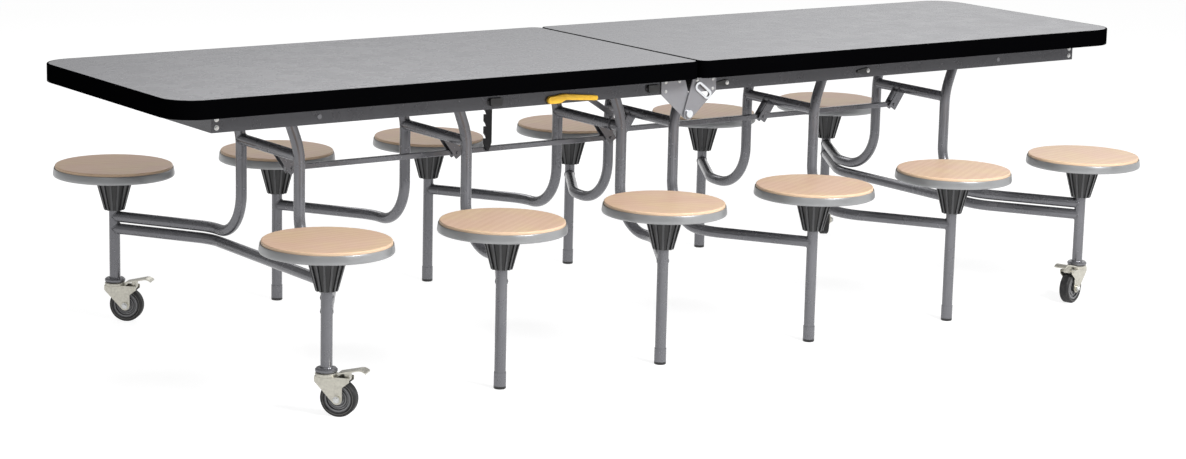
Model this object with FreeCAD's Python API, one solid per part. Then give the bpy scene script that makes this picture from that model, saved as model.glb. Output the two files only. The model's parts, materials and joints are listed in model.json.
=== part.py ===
# Mobile folding table with twelve attached swivel seats, in millimetres.
#
# Frame: X along the table, Y across it (negative is the front), Z up from the floor.
# The origin is on the floor under the centre of the tabletop.
#
# The table is two halves that meet at a seam at X = 0. Each half is a parallelogram
# linkage: the tabletop, three leg frames that hang from pivots under its rails, and a
# link bar that joins the leg frames lower down. Lifting the seam folds both halves up
# while every leg frame stays upright and the two end frames roll together.

import FreeCAD
import Part

import math
import os

V = FreeCAD.Vector
ORIGIN = V(0, 0, 0)
Y_AXIS = V(0, 1, 0)
Z_AXIS = V(0, 0, 1)
LEFT = -1
RIGHT = 1
FRONT = -1
BACK = 1

# ---------------------------------------------------------------- driving dimensions

# Tabletop
TABLE_LENGTH = 3050.0
TABLE_WIDTH = 762.0
TABLE_HEIGHT = 740.0
BOARD_THICKNESS = 46.0
EDGE_WIDTH = 5.0
EDGE_ROUND = 2.4
OUTER_CORNER = 85.0
SEAM_CORNER = 28.0
SEAM_GAP = 3.0

# Underframe of folded steel channel
RAIL_SPREAD = 640.0
RAIL_HEIGHT = 44.0
RAIL_FLANGE = 28.0
SHEET = 3.0
RAIL_END_INSET = 125.0
RAIL_SEAM_INSET = 14.0

# Leg frames of round tube
TUBE_DIAMETER = 28.6
SEAT_PITCH = 490.0
ROW_SPREAD = 1120.0
LEG_STEP = 158.0
LEG_SPREAD = 300.0
PIVOT_DROP = 26.0
PIVOT_STEP = 41.0
PIVOT_TUBE_DIAMETER = 25.4
PIVOT_PIN_DIAMETER = 12.0
TOP_LEAN = 20.0
TOP_BEND = 200.0
FOOT_BEND = 115.0
ARM_BEND = 140.0
ARM_SPREAD = 620.0
ARM_HEIGHT = 268.0
END_ARM_HEIGHT = 282.0
LOWER_ARM_GAP = 4.0
ARM_SHORT = 0.5
CROSS_TUBE_DROP = 128.0

# Link bars and their brackets
LINK_DROP = 174.0
LINK_STEP = 32.0
LINK_SIZE = 14.0
LINK_ROUND = 2.0
LINK_SIDE = 46.0
LINK_END = 15.0
LINK_PIN_DIAMETER = 8.0
LINK_PIN_HEAD = 3.0
BRACKET_PLATE = 3.0
BRACKET_GAP = 3.0
BRACKET_WIDTH = 27.0
BRACKET_END = 12.0
BRACKET_CORNER = 2.5

# Seats
SEAT_HEIGHT = 422.0
SEAT_DIAMETER = 308.0
SEAT_BOARD = 19.0
SEAT_EDGE_ROUND = 3.0
PAN_DIAMETER = 318.0
PAN_WALL = 2.0
PAN_DEPTH = 34.0
PAN_RIM_DROP = 7.0
PAN_BAND = 22.0
PAN_CORNER = 6.0
PAN_FLOOR_DIAMETER = 236.0
PAN_FLOOR_BEND = 60.0
SEAT_BOSSES = 4
SEAT_BOSS_CIRCLE = 170.0
SEAT_BOSS_DIAMETER = 24.0
HUB_TOP_DIAMETER = 97.0
HUB_BOTTOM_DIAMETER = 54.0
HUB_HEIGHT = 87.0
HUB_FLANGE = 7.0
HUB_RIBS = 14
HUB_RIB_WIDTH = 5.0
HUB_RIB_HEIGHT = 3.5
SPINDLE_DIAMETER = 22.0
SPINDLE_LENGTH = 70.0
SOCKET_CLEARANCE = 2.0

# Feet: a ferrule round the column and a glide with a spigot inside it
FERRULE_WALL = 1.2
FERRULE_TOP = 42.0
GLIDE_HEIGHT = 7.0
GLIDE_ROUND = 1.5
SPIGOT_DIAMETER = 16.0
SPIGOT_LENGTH = 14.0

# Bumpers and keepers on the pivot pins, outside the rails
BUMPER_LENGTH = 36.0
BUMPER_HEIGHT = 20.0
BUMPER_STEP = 14.0
BUMPER_THICKNESS = 8.0
BUMPER_CORNER = 2.0
BUMPER_ROUND = 8.0
KEEPER_LENGTH = 38.0
KEEPER_HEAD = 9.0
KEEPER_TAIL = 3.5
KEEPER_THICKNESS = 4.0

# Centre hinge
HINGE_PLATE = 4.0
HINGE_MARGIN = 4.0
HINGE_CORNER = 2.0
HINGE_BOSS = 16.0
HINGE_PIN_DIAMETER = 12.0
HINGE_HEAD_DIAMETER = 20.0
HINGE_HEAD = 5.0
GRIP_SLOT_LENGTH = 60.0
GRIP_SLOT_HEIGHT = 26.0
GRIP_SLOT_RIM = 6.0
GRIP_SLOT_TILT = -38.0
GRIP_SLOT_PLACE = (44.0, -40.0)

# Safety stay
STAY_STEP = 125.0
STAY_DROP = 22.0
STAY_LENGTH = 182.0
STAY_WIDTH = 24.0
STAY_THICKNESS = 5.0
STAY_CORNER = 4.0
STAY_POINT = 22.0
STAY_TEETH = 4
STAY_FIRST_TOOTH = 34.0
STAY_TOOTH_PITCH = 32.0
STAY_TOOTH_DEPTH = 8.0
STAY_TOOTH_RISE = 7.0
STAY_TOOTH_HEEL = 4.8
STAY_TOOTH_HEIGHT = 15.0
STAY_PIN_DIAMETER = 8.0

# Release lever, its bearing and the lug beside its arm
LEVER_STEP = 172.0
LEVER_DROP = 36.0
LEVER_SHAFT_DIAMETER = 8.0
LEVER_ARM_WIDTH = 14.0
LEVER_ARM_THICKNESS = 5.0
LEVER_ARM_SIDE = 108.0
LEVER_BOSS = 9.0
LEVER_KNEE = 68.0
LATCH_GAP = 5.0
LUG_RISE = 8.0
LUG_TIP = 8.0
LUG_COLLAR = 3.0
BEARING_RADIUS = 12.0
BEARING_FOOT = 36.0
BEARING_FOOT_DEPTH = 22.0
EAR_CORNER = 1.0
GRIP_LENGTH = 148.0
GRIP_NECK = 6.5
GRIP_SHOULDER = (-96.0, 9.0, 8.0)
GRIP_HEAD = 9.5
GRIP_HEAD_LENGTH = 45.0
GRIP_HEAD_RISE = 3.0
GRIP_THICKNESS = 9.0
GRIP_ROUND = 2.0

# Casters
WHEEL_DIAMETER = 89.0
TYRE_DEPTH = 11.0
TYRE_WIDTH = 29.0
TYRE_SIDE = 2.0
TREAD_WIDTH = 19.0
TYRE_BULGE = 2.4
CORE_WIDTH = 25.0
CORE_RIM = 6.0
CORE_DISH = 4.0
CORE_RIDGE = 3.0
CORE_RIDGE_STAND = 2.0
WHEEL_HUB_WIDTH = 32.0
WHEEL_HUB_DIAMETER = 24.0
AXLE_DIAMETER = 10.0
AXLE_NUT_DIAMETER = 18.0
AXLE_NUT = 4.0
CASTER_TRAIL = 32.0
CROWN_CLEARANCE = 6.0
CROWN_DIAMETER = 54.0
CROWN_HEIGHT = 9.0
CROWN_CHAMFER = 2.0
RACE_HEIGHT = 10.0
RACE_GAP = 1.5
RACE_SHOULDER = 3.5
FORK_PLATE = 2.5
FORK_INNER_WIDTH = 35.0
FORK_BACK = 24.0
FORK_CHEEK = 10.0
FORK_END_RADIUS = 13.0
FORK_FLARE_RISE = 30.0
FORK_FLARE_DROP = 7.0
FORK_FLARE_REACH = 8.0
FORK_CORNER = 2.0
KINGPIN_DIAMETER = 14.0
KINGPIN_HEAD = 3.0
PEDAL_PIVOT_DIAMETER = 6.0
PEDAL_PIVOT_STEP = 22.0
PEDAL_PIVOT_DROP = 2.0
PEDAL_LUG_RADIUS = 6.0
PEDAL_LUG_WIDTH = 18.0
PEDAL_LUG_CORNER = 1.5
PEDAL_START = 5.0
PEDAL_REACH = 102.0
PEDAL_WIDTH = 36.0
PEDAL_PLATE = 3.0
PEDAL_HEIGHT = 3.0
PEDAL_RISE = 11.0
PEDAL_CURL = 22.0
PEDAL_CURL_DROP = 5.0
PEDAL_BULGE = 3.2
CASTER_TURN = {
    (LEFT, FRONT): -49.0,
    (LEFT, BACK): -43.0,
    (RIGHT, FRONT): -162.0,
    (RIGHT, BACK): -125.0,
}

# Clearances between pieces that move past each other
PIN_CLEARANCE = 0.3
FACE_CLEARANCE = 0.5
SIDE_CLEARANCE = 1.0
SLEEVE_CLEARANCE = 0.1

# How far a cutting tool reaches past the face that it opens
OVERCUT = 1.0

# --------------------------------------------------------------- derived dimensions

TUBE_RADIUS = TUBE_DIAMETER / 2
FERRULE_RADIUS = TUBE_RADIUS + FERRULE_WALL
HALF_LENGTH = TABLE_LENGTH / 2
HALF_WIDTH = TABLE_WIDTH / 2
ROW_Y = ROW_SPREAD / 2
LEG_Y = LEG_SPREAD / 2
ARM_Y = ARM_SPREAD / 2
RAIL_Y = RAIL_SPREAD / 2
UNDERSIDE = TABLE_HEIGHT - BOARD_THICKNESS
RAIL_BOTTOM = UNDERSIDE - RAIL_HEIGHT
PIVOT_Z = UNDERSIDE - PIVOT_DROP
CROSS_Z = PIVOT_Z - CROSS_TUBE_DROP
LINK_Z = PIVOT_Z - LINK_DROP
HINGE_Z = PIVOT_Z - PIVOT_STEP - LINK_STEP
LOWER_ARM_HEIGHT = END_ARM_HEIGHT - TUBE_DIAMETER - LOWER_ARM_GAP
PAN_BOTTOM = SEAT_HEIGHT - PAN_DEPTH
HUB_TOP = PAN_BOTTOM - FACE_CLEARANCE
HUB_BOTTOM = HUB_TOP - HUB_HEIGHT
WHEEL_RADIUS = WHEEL_DIAMETER / 2
CROWN_BOTTOM = WHEEL_DIAMETER + CROWN_CLEARANCE
CROWN_TOP = CROWN_BOTTOM + CROWN_HEIGHT
RACE_BOTTOM = CROWN_TOP + RACE_GAP
RACE_TOP = RACE_BOTTOM + RACE_HEIGHT

FRAME_NUMBERS = (1, 2, 3, 4, 5, 6)
END_FRAMES = (1, 6)
LATCHED_FRAME = 3


def side_of(number):
    """The half of the table that a leg frame belongs to."""
    return LEFT if number <= LATCHED_FRAME else RIGHT


def column_x(number):
    """Seat columns stand at an even pitch, with the seam midway between the inner frames."""
    return (number - LATCHED_FRAME - 0.5) * SEAT_PITCH


def leg_x(number):
    """The legs of a frame stand nearer to the seam than its seat columns."""
    return column_x(number) - side_of(number) * LEG_STEP


def pivot_x(number):
    """The legs lean outwards at the top, to the pivot under the rails."""
    return leg_x(number) + side_of(number) * PIVOT_STEP


HINGE_SPAN = pivot_x(LATCHED_FRAME + 1) - KEEPER_LENGTH - HINGE_MARGIN

# --------------------------------------------------------------------- form helpers


def cylinder(radius, start, direction, length):
    return Part.makeCylinder(radius, length, start, direction)


def cross_cylinder(radius, x, z, y_from, y_to):
    """A cylinder along Y between two stations."""
    return cylinder(radius, V(x, min(y_from, y_to), z), Y_AXIS, abs(y_to - y_from))


def block(low, high):
    """A box given by two opposite corners, in any order."""
    corner = V(*(min(a, b) for a, b in zip(low, high)))
    size = [abs(b - a) for a, b in zip(low, high)]
    return Part.makeBox(size[0], size[1], size[2], corner)


def line(start, end):
    return Part.LineSegment(start, end).toShape()


def arc(start, middle, end):
    return Part.Arc(start, middle, end).toShape()


def rounded_path(points, radii):
    """Straight runs through the points, with a tangent arc at each inner point."""
    edges = []
    start = points[0]
    for before, corner, after, radius in zip(points, points[1:], points[2:], radii):
        back = (before - corner).normalize()
        ahead = (after - corner).normalize()
        half_turn = (math.pi - back.getAngle(ahead)) / 2
        reach = radius * math.tan(half_turn)
        rise = radius / math.cos(half_turn) - radius
        arc_start = corner + back * reach
        arc_middle = corner + (back + ahead).normalize() * rise
        arc_end = corner + ahead * reach
        edges.append(line(start, arc_start))
        edges.append(arc(arc_start, arc_middle, arc_end))
        start = arc_end
    edges.append(line(start, points[-1]))
    return Part.Wire(edges)


def bent_tube(points, radii):
    """A round tube bent along a path."""
    section = Part.Wire(Part.makeCircle(TUBE_RADIUS, points[0], points[1] - points[0]))
    return rounded_path(points, radii).makePipeShell([section], True, False)


def on_circle(circle, angle):
    x, z, radius = circle
    return V(x + radius * math.cos(angle), 0, z + radius * math.sin(angle))


def hull_outline(circles):
    """The taut belt round circles given as (x, z, radius) in counter-clockwise order."""
    following = circles[1:] + circles[:1]
    normals = []
    for (x0, z0, r0), (x1, z1, r1) in zip(circles, following):
        heading = math.atan2(z1 - z0, x1 - x0)
        lean = math.asin((r0 - r1) / math.hypot(x1 - x0, z1 - z0))
        normals.append(heading - math.pi / 2 + lean)
    edges = []
    for index, circle in enumerate(circles):
        arrive = normals[index - 1]
        leave = normals[index]
        while leave < arrive:
            leave += 2 * math.pi
        corner = [on_circle(circle, angle) for angle in (arrive, (arrive + leave) / 2, leave)]
        edges.append(arc(*corner))
        edges.append(line(corner[2], on_circle(following[index], normals[index])))
    return Part.Wire(edges)


def belt_plate(circles, y_from, y_to):
    """A flat plate across Y whose outline is a belt round circles."""
    face = Part.Face(hull_outline(circles))
    face.translate(V(0, min(y_from, y_to), 0))
    return face.extrude(V(0, abs(y_to - y_from), 0))


def polyline(points):
    """Closed straight edges through points."""
    return Part.makePolygon(list(points) + [points[0]]).Edges


def profile_plate(edges, y_from, y_to):
    """A flat plate across Y from closed edges in the plane Y = 0."""
    face = Part.Face(Part.Wire(edges))
    face.translate(V(0, min(y_from, y_to), 0))
    return face.extrude(V(0, abs(y_to - y_from), 0))


def revolved(profile, axis=Z_AXIS):
    """A closed profile turned round an axis through the origin."""
    return Part.Face(Part.Wire(profile)).revolve(ORIGIN, axis, 360)


def fused(solids):
    """One welded solid."""
    return solids[0].multiFuse(solids[1:]).removeSplitter()


def cut_by(shape, tools):
    return shape.cut(Part.makeCompound(tools)) if tools else shape


# ------------------------------------------------------------------------- tabletop


def board_outline(side, inset):
    """Plan of one half of the tabletop, drawn in by an inset all round."""
    seam_x = side * (SEAM_GAP / 2 + inset)
    end_x = side * (HALF_LENGTH - inset)
    half = HALF_WIDTH - inset
    outer = OUTER_CORNER - inset
    inner = SEAM_CORNER - inset
    middle = V((seam_x + end_x) / 2, -half, 0)
    corners = [V(end_x, -half, 0), V(end_x, half, 0), V(seam_x, half, 0), V(seam_x, -half, 0)]
    return rounded_path([middle] + corners + [middle], [outer, outer, inner, inner])


def board_slab(side, inset):
    face = Part.Face(board_outline(side, inset))
    face.translate(V(0, 0, UNDERSIDE))
    return face.extrude(V(0, 0, BOARD_THICKNESS))


def table_board(side):
    """Laminated board inside its edge moulding."""
    return board_slab(side, EDGE_WIDTH)


def table_edge(side):
    """Moulding round the board, with its outer top and bottom edges rounded."""
    outer = board_slab(side, 0)
    level = [f for f in outer.Faces if isinstance(f.Surface, Part.Plane) and abs(f.normalAt(0, 0).z) > 0.5]
    rims = [edge for face in level for edge in face.Edges]
    return outer.makeFillet(EDGE_ROUND, rims).cut(board_slab(side, EDGE_WIDTH))


# ----------------------------------------------------------------------- underframe


def channel_x(y_web, inward, x_from, x_to):
    """Channel along X: a web with two flanges turned inwards."""
    flange_y = y_web + inward * RAIL_FLANGE
    web_y = y_web + inward * SHEET
    return fused([
        block((x_from, y_web, RAIL_BOTTOM), (x_to, web_y, UNDERSIDE)),
        block((x_from, y_web, RAIL_BOTTOM), (x_to, flange_y, RAIL_BOTTOM + SHEET)),
        block((x_from, y_web, UNDERSIDE - SHEET), (x_to, flange_y, UNDERSIDE)),
    ])


def channel_y(x_web, inward, y_half):
    """Channel along Y between the rails."""
    flange_x = x_web + inward * RAIL_FLANGE
    web_x = x_web + inward * SHEET
    return fused([
        block((x_web, -y_half, RAIL_BOTTOM), (web_x, y_half, UNDERSIDE)),
        block((x_web, -y_half, RAIL_BOTTOM), (flange_x, y_half, RAIL_BOTTOM + SHEET)),
        block((x_web, -y_half, UNDERSIDE - SHEET), (flange_x, y_half, UNDERSIDE)),
    ])


def hanging_ear(x, z, radius, half_foot, y_from, y_to):
    """An ear under the board, round at its lower end."""
    top = UNDERSIDE - EAR_CORNER
    foot = half_foot - EAR_CORNER
    return belt_plate(
        [(x, z, radius), (x + foot, top, EAR_CORNER), (x - foot, top, EAR_CORNER)], y_from, y_to)


def stay_pivot():
    x = leg_x(LATCHED_FRAME - 1) + STAY_STEP
    return V(x, 0, UNDERSIDE - STAY_DROP)


def stay_y():
    """The stay swings just outside the left link bar."""
    outer_face = -LINK_SIDE - LINK_SIZE / 2 - SIDE_CLEARANCE
    return outer_face - STAY_THICKNESS, outer_face


def stay_hanger():
    """A folded bracket with the pin that the stay hangs on."""
    low_y, high_y = stay_y()
    pivot = stay_pivot()
    half = STAY_WIDTH / 2
    reach = SIDE_CLEARANCE + SHEET
    foot = block(
        (pivot.x - half, low_y - reach, UNDERSIDE - SHEET), (pivot.x + half, high_y + reach, UNDERSIDE))
    pin = cross_cylinder(STAY_PIN_DIAMETER / 2, pivot.x, pivot.z, low_y - reach, high_y + reach)
    ears = []
    for face_y, away in ((low_y, FRONT), (high_y, BACK)):
        near = face_y + away * SIDE_CLEARANCE
        ears.append(hanging_ear(pivot.x, pivot.z, half, half, near, near + away * SHEET))
    return fused([foot, pin] + ears)


def lever_pivot():
    x = pivot_x(LATCHED_FRAME) - LEVER_STEP
    return V(x, 0, UNDERSIDE - LEVER_DROP)


def lever_hanger():
    """The inner bearing of the release lever's shaft."""
    pivot = lever_pivot()
    half = BEARING_FOOT / 2
    near = -LEVER_ARM_SIDE + SIDE_CLEARANCE
    far = near + SHEET
    ear = hanging_ear(pivot.x, pivot.z, BEARING_RADIUS, half, near, far)
    foot = block(
        (pivot.x - half, near, UNDERSIDE - SHEET), (pivot.x + half, near + BEARING_FOOT_DEPTH, UNDERSIDE))
    hole_radius = LEVER_SHAFT_DIAMETER / 2 + PIN_CLEARANCE
    hole = cross_cylinder(hole_radius, pivot.x, pivot.z, near - OVERCUT, far + OVERCUT)
    return fused([ear, foot]).cut(hole)


def underframe(side):
    """Two rails, an end bar and a seam bar, pierced for the leg frames' pins."""
    seam_x = side * RAIL_SEAM_INSET
    end_x = side * (HALF_LENGTH - RAIL_END_INSET)
    bar_half = RAIL_Y - SHEET / 2
    pieces = [channel_x(row * RAIL_Y, -row, seam_x, end_x) for row in (FRONT, BACK)]
    pieces.append(channel_y(end_x, -side, bar_half))
    pieces.append(channel_y(seam_x, side, bar_half))
    pin_hole = PIVOT_PIN_DIAMETER / 2 + PIN_CLEARANCE
    reach = RAIL_Y + OVERCUT
    holes = []
    for number in FRAME_NUMBERS:
        if side_of(number) == side:
            holes.append(cross_cylinder(pin_hole, pivot_x(number), PIVOT_Z, -reach, reach))
    if side == RIGHT:
        return cut_by(fused(pieces), holes)
    shaft_hole = LEVER_SHAFT_DIAMETER / 2 + PIN_CLEARANCE
    pivot = lever_pivot()
    holes.append(cross_cylinder(shaft_hole, pivot.x, pivot.z, -reach, -RAIL_Y + SHEET + OVERCUT))
    return Part.makeCompound([cut_by(fused(pieces), holes), stay_hanger(), lever_hanger()])


# --------------------------------------------------------------------- centre hinge


def hinge_plate_outline(side):
    """A hinge plate: square on the rail, tapering down to the pin."""
    near = side * RAIL_SEAM_INSET
    far = side * HINGE_SPAN
    top = UNDERSIDE - SHEET - HINGE_CORNER
    pin = (0.0, HINGE_Z, HINGE_BOSS)
    rail_corners = [
        (far, RAIL_BOTTOM + HINGE_CORNER, HINGE_CORNER),
        (far, top, HINGE_CORNER),
        (near, top, HINGE_CORNER),
    ]
    return [pin] + rail_corners if side == RIGHT else [pin] + rail_corners[::-1]


def hinge_plates_left():
    """Inner plates, each with its pin and pin head."""
    solids = []
    for row in (FRONT, BACK):
        inner = row * RAIL_Y
        outer = row * (RAIL_Y + HINGE_PLATE)
        head_start = row * (RAIL_Y + 2 * HINGE_PLATE + 2 * FACE_CLEARANCE)
        head_end = head_start + row * HINGE_HEAD
        solids.append(fused([
            belt_plate(hinge_plate_outline(LEFT), inner, outer),
            cross_cylinder(HINGE_PIN_DIAMETER / 2, 0, HINGE_Z, inner, head_end),
            cross_cylinder(HINGE_HEAD_DIAMETER / 2, 0, HINGE_Z, head_start, head_end),
        ]))
    return Part.makeCompound(solids)


def grip_slot(length, height, y_from, y_to):
    """An obround across the right plate, tilted down away from the seam."""
    half = (length - height) / 2
    tilt = math.radians(GRIP_SLOT_TILT)
    x, below = GRIP_SLOT_PLACE
    z = UNDERSIDE + below
    dx = half * math.cos(tilt)
    dz = half * math.sin(tilt)
    return belt_plate([(x - dx, z - dz, height / 2), (x + dx, z + dz, height / 2)], y_from, y_to)


def hinge_plates_right():
    """Outer plates on spacers, each with a rimmed grip slot."""
    slot_length = GRIP_SLOT_LENGTH - 2 * GRIP_SLOT_RIM
    slot_height = GRIP_SLOT_HEIGHT - 2 * GRIP_SLOT_RIM
    hole_radius = HINGE_PIN_DIAMETER / 2 + PIN_CLEARANCE
    solids = []
    for row in (FRONT, BACK):
        inner = row * (RAIL_Y + HINGE_PLATE + FACE_CLEARANCE)
        outer = inner + row * HINGE_PLATE
        rim_face = outer + row * HINGE_PLATE
        plate = belt_plate(hinge_plate_outline(RIGHT), inner, outer)
        spacer = block(
            (RAIL_SEAM_INSET, row * RAIL_Y, RAIL_BOTTOM), (HINGE_SPAN, inner, UNDERSIDE - SHEET))
        rim = grip_slot(GRIP_SLOT_LENGTH, GRIP_SLOT_HEIGHT, inner, rim_face)
        slot = grip_slot(slot_length, slot_height, inner, rim_face)
        hole = cross_cylinder(hole_radius, 0, HINGE_Z, inner - row * OVERCUT, outer + row * OVERCUT)
        solids.append(cut_by(fused([plate, spacer, rim]), [slot, hole]))
    return Part.makeCompound(solids)


# ------------------------------------------------------------------------- link bars


def link_y(side):
    """The two link bars lie on opposite sides of the middle, to pass when folded."""
    return side * LINK_SIDE


def link_x(number):
    return leg_x(number) - side_of(number) * LINK_STEP


def link_bar(side):
    """A square bar with a pin at each leg frame's bracket."""
    stations = [link_x(n) for n in FRAME_NUMBERS if side_of(n) == side]
    y = link_y(side)
    half = LINK_SIZE / 2
    start = min(stations) - LINK_END
    end = max(stations) + LINK_END
    bar = block((start, y - half, LINK_Z - half), (end, y + half, LINK_Z + half))
    bar = bar.makeFillet(LINK_ROUND, [edge for edge in bar.Edges if edge.Length > LINK_SIZE + OVERCUT])
    pin_half = half + BRACKET_GAP + BRACKET_PLATE + LINK_PIN_HEAD
    pins = [cross_cylinder(LINK_PIN_DIAMETER / 2, x, LINK_Z, y - pin_half, y + pin_half) for x in stations]
    return fused([bar] + pins)


def link_bracket(number):
    """Two slanted ears from the cross tube, with square ends below the link bar's pin."""
    y = link_y(side_of(number))
    tube = V(leg_x(number), 0, CROSS_Z)
    pin = V(link_x(number), 0, LINK_Z)
    along = (pin - tube).normalize()
    across = V(along.z, 0, -along.x) * (BRACKET_WIDTH / 2 - BRACKET_CORNER)
    end = pin + along * (BRACKET_END - BRACKET_CORNER)
    corners = [tube + across, end + across, end - across, tube - across]
    outline = [(corner.x, corner.z, BRACKET_CORNER) for corner in corners]
    hole_radius = LINK_PIN_DIAMETER / 2 + PIN_CLEARANCE
    ears = []
    for away in (FRONT, BACK):
        near = y + away * (LINK_SIZE / 2 + BRACKET_GAP)
        far = near + away * BRACKET_PLATE
        hole = cross_cylinder(hole_radius, pin.x, pin.z, near - away * OVERCUT, far + away * OVERCUT)
        ears.append(belt_plate(outline, near, far).cut(hole))
    return ears


# ------------------------------------------------------------------------ leg frames


def arm_run(number, row, z):
    """The last bend of an arm, and its end just short of the column's axis."""
    bend = V(leg_x(number), row * ARM_Y, z)
    axis = V(column_x(number), row * ROW_Y, z)
    return [bend, axis - (axis - bend).normalize() * ARM_SHORT]


def leg_path(number, row):
    """From the top pivot down a leg, forward under the seat and out to its column."""
    leg_y = row * LEG_Y
    arm_z = END_ARM_HEIGHT if number in END_FRAMES else ARM_HEIGHT
    elbow_z = PIVOT_Z - PIVOT_STEP / math.tan(math.radians(TOP_LEAN))
    points = [
        V(pivot_x(number), leg_y, PIVOT_Z),
        V(leg_x(number), leg_y, elbow_z),
        V(leg_x(number), leg_y, arm_z),
    ]
    return points + arm_run(number, row, arm_z), [TOP_BEND, FOOT_BEND, ARM_BEND]


def lower_arm(number):
    """A tube under the arms of an end frame, from column to column."""
    front = arm_run(number, FRONT, LOWER_ARM_HEIGHT)
    back = arm_run(number, BACK, LOWER_ARM_HEIGHT)
    return bent_tube(front[::-1] + back, [ARM_BEND, ARM_BEND])


def caster_race():
    """Upper race and kingpin that a caster's fork turns on."""
    radius = CROWN_DIAMETER / 2
    pin_radius = KINGPIN_DIAMETER / 2
    pin_bottom = CROWN_BOTTOM - FACE_CLEARANCE - KINGPIN_HEAD
    race = revolved(polyline([
        V(0, 0, RACE_BOTTOM),
        V(radius - CROWN_CHAMFER, 0, RACE_BOTTOM),
        V(radius, 0, RACE_BOTTOM + CROWN_CHAMFER),
        V(radius, 0, RACE_TOP - RACE_SHOULDER),
        V(radius - RACE_SHOULDER, 0, RACE_TOP),
        V(0, 0, RACE_TOP),
    ]))
    pin = cylinder(pin_radius, V(0, 0, pin_bottom), Z_AXIS, RACE_TOP - pin_bottom)
    head = cylinder(pin_radius + KINGPIN_HEAD, V(0, 0, pin_bottom), Z_AXIS, KINGPIN_HEAD)
    return fused([race, pin, head])


def column(number, row):
    """Seat column, on a caster race in the end frames and in a ferrule in the others."""
    place = V(column_x(number), row * ROW_Y, 0)
    on_caster = number in END_FRAMES
    bottom = RACE_TOP if on_caster else GLIDE_HEIGHT + SLEEVE_CLEARANCE
    top = HUB_TOP - FACE_CLEARANCE
    tube = cylinder(TUBE_RADIUS, V(0, 0, bottom), Z_AXIS, top - bottom)
    if on_caster:
        foot = caster_race()
    else:
        foot = cylinder(FERRULE_RADIUS, V(0, 0, bottom), Z_AXIS, FERRULE_TOP - bottom)
    return [tube.translated(place), foot.translated(place)]


def column_bores(number, row):
    """The socket for the seat's spindle, and the bore for the glide's spigot."""
    place = V(column_x(number), row * ROW_Y, 0)
    depth = SPINDLE_LENGTH + SOCKET_CLEARANCE
    socket_radius = SPINDLE_DIAMETER / 2 + PIN_CLEARANCE
    bores = [cylinder(socket_radius, place + V(0, 0, PAN_BOTTOM - depth), Z_AXIS, depth)]
    if number not in END_FRAMES:
        spigot_radius = SPIGOT_DIAMETER / 2 + SLEEVE_CLEARANCE
        spigot_top = GLIDE_HEIGHT + SPIGOT_LENGTH + FACE_CLEARANCE
        bores.append(cylinder(spigot_radius, place, Z_AXIS, spigot_top))
    return bores


def latch_point(distance):
    """A point on the way from the latched frame's cross tube up to its pivot."""
    tube = V(leg_x(LATCHED_FRAME), 0, CROSS_Z)
    pivot = V(pivot_x(LATCHED_FRAME), 0, PIVOT_Z)
    return tube + (pivot - tube).normalize() * distance


def latch_tip():
    """Centre of the rounded end of the release lever's arm, a gap above the lug."""
    return latch_point(TUBE_RADIUS + LUG_RISE + LATCH_GAP + LEVER_ARM_WIDTH / 2)


def latch_lug():
    """A lug on the latched frame's cross tube, in line with the lever's arm."""
    tip = latch_point(TUBE_RADIUS + LUG_RISE - LUG_TIP)
    collar = (leg_x(LATCHED_FRAME), CROSS_Z, TUBE_RADIUS + LUG_COLLAR)
    near = -LEVER_ARM_SIDE
    return belt_plate([collar, (tip.x, tip.z, LUG_TIP)], near, near - LEVER_ARM_THICKNESS)


def left_leg_frame(number):
    """The welded frame of a front and a back seat in the left half."""
    pieces = []
    bores = []
    for row in (FRONT, BACK):
        points, radii = leg_path(number, row)
        pieces.append(bent_tube(points, radii))
        pieces.extend(column(number, row))
        bores.extend(column_bores(number, row))
    pivot_half = RAIL_Y - SHEET - 2 * SIDE_CLEARANCE
    pin_half = RAIL_Y + FACE_CLEARANCE
    x = pivot_x(number)
    pieces.append(cross_cylinder(TUBE_RADIUS, leg_x(number), CROSS_Z, -LEG_Y, LEG_Y))
    pieces.append(cross_cylinder(PIVOT_TUBE_DIAMETER / 2, x, PIVOT_Z, -pivot_half, pivot_half))
    pieces.append(cross_cylinder(PIVOT_PIN_DIAMETER / 2, x, PIVOT_Z, -pin_half, pin_half))
    pieces.extend(link_bracket(number))
    if number in END_FRAMES:
        pieces.append(lower_arm(number))
    if number == LATCHED_FRAME:
        pieces.append(latch_lug())
    return cut_by(fused(pieces), bores)


def right_leg_frame(number):
    """A right leg frame is its opposite number turned half round, with no lug."""
    opposite = len(FRAME_NUMBERS) + 1 - number
    if opposite != LATCHED_FRAME:
        return left_leg_frame(opposite).rotated(ORIGIN, Z_AXIS, 180)
    inner = left_leg_frame(opposite - 1).translated(V(SEAT_PITCH, 0, 0))
    return inner.rotated(ORIGIN, Z_AXIS, 180)


def leg_frame(number):
    return left_leg_frame(number) if side_of(number) == LEFT else right_leg_frame(number)


# ------------------------------------------------------------- hubs, glides and caps


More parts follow.
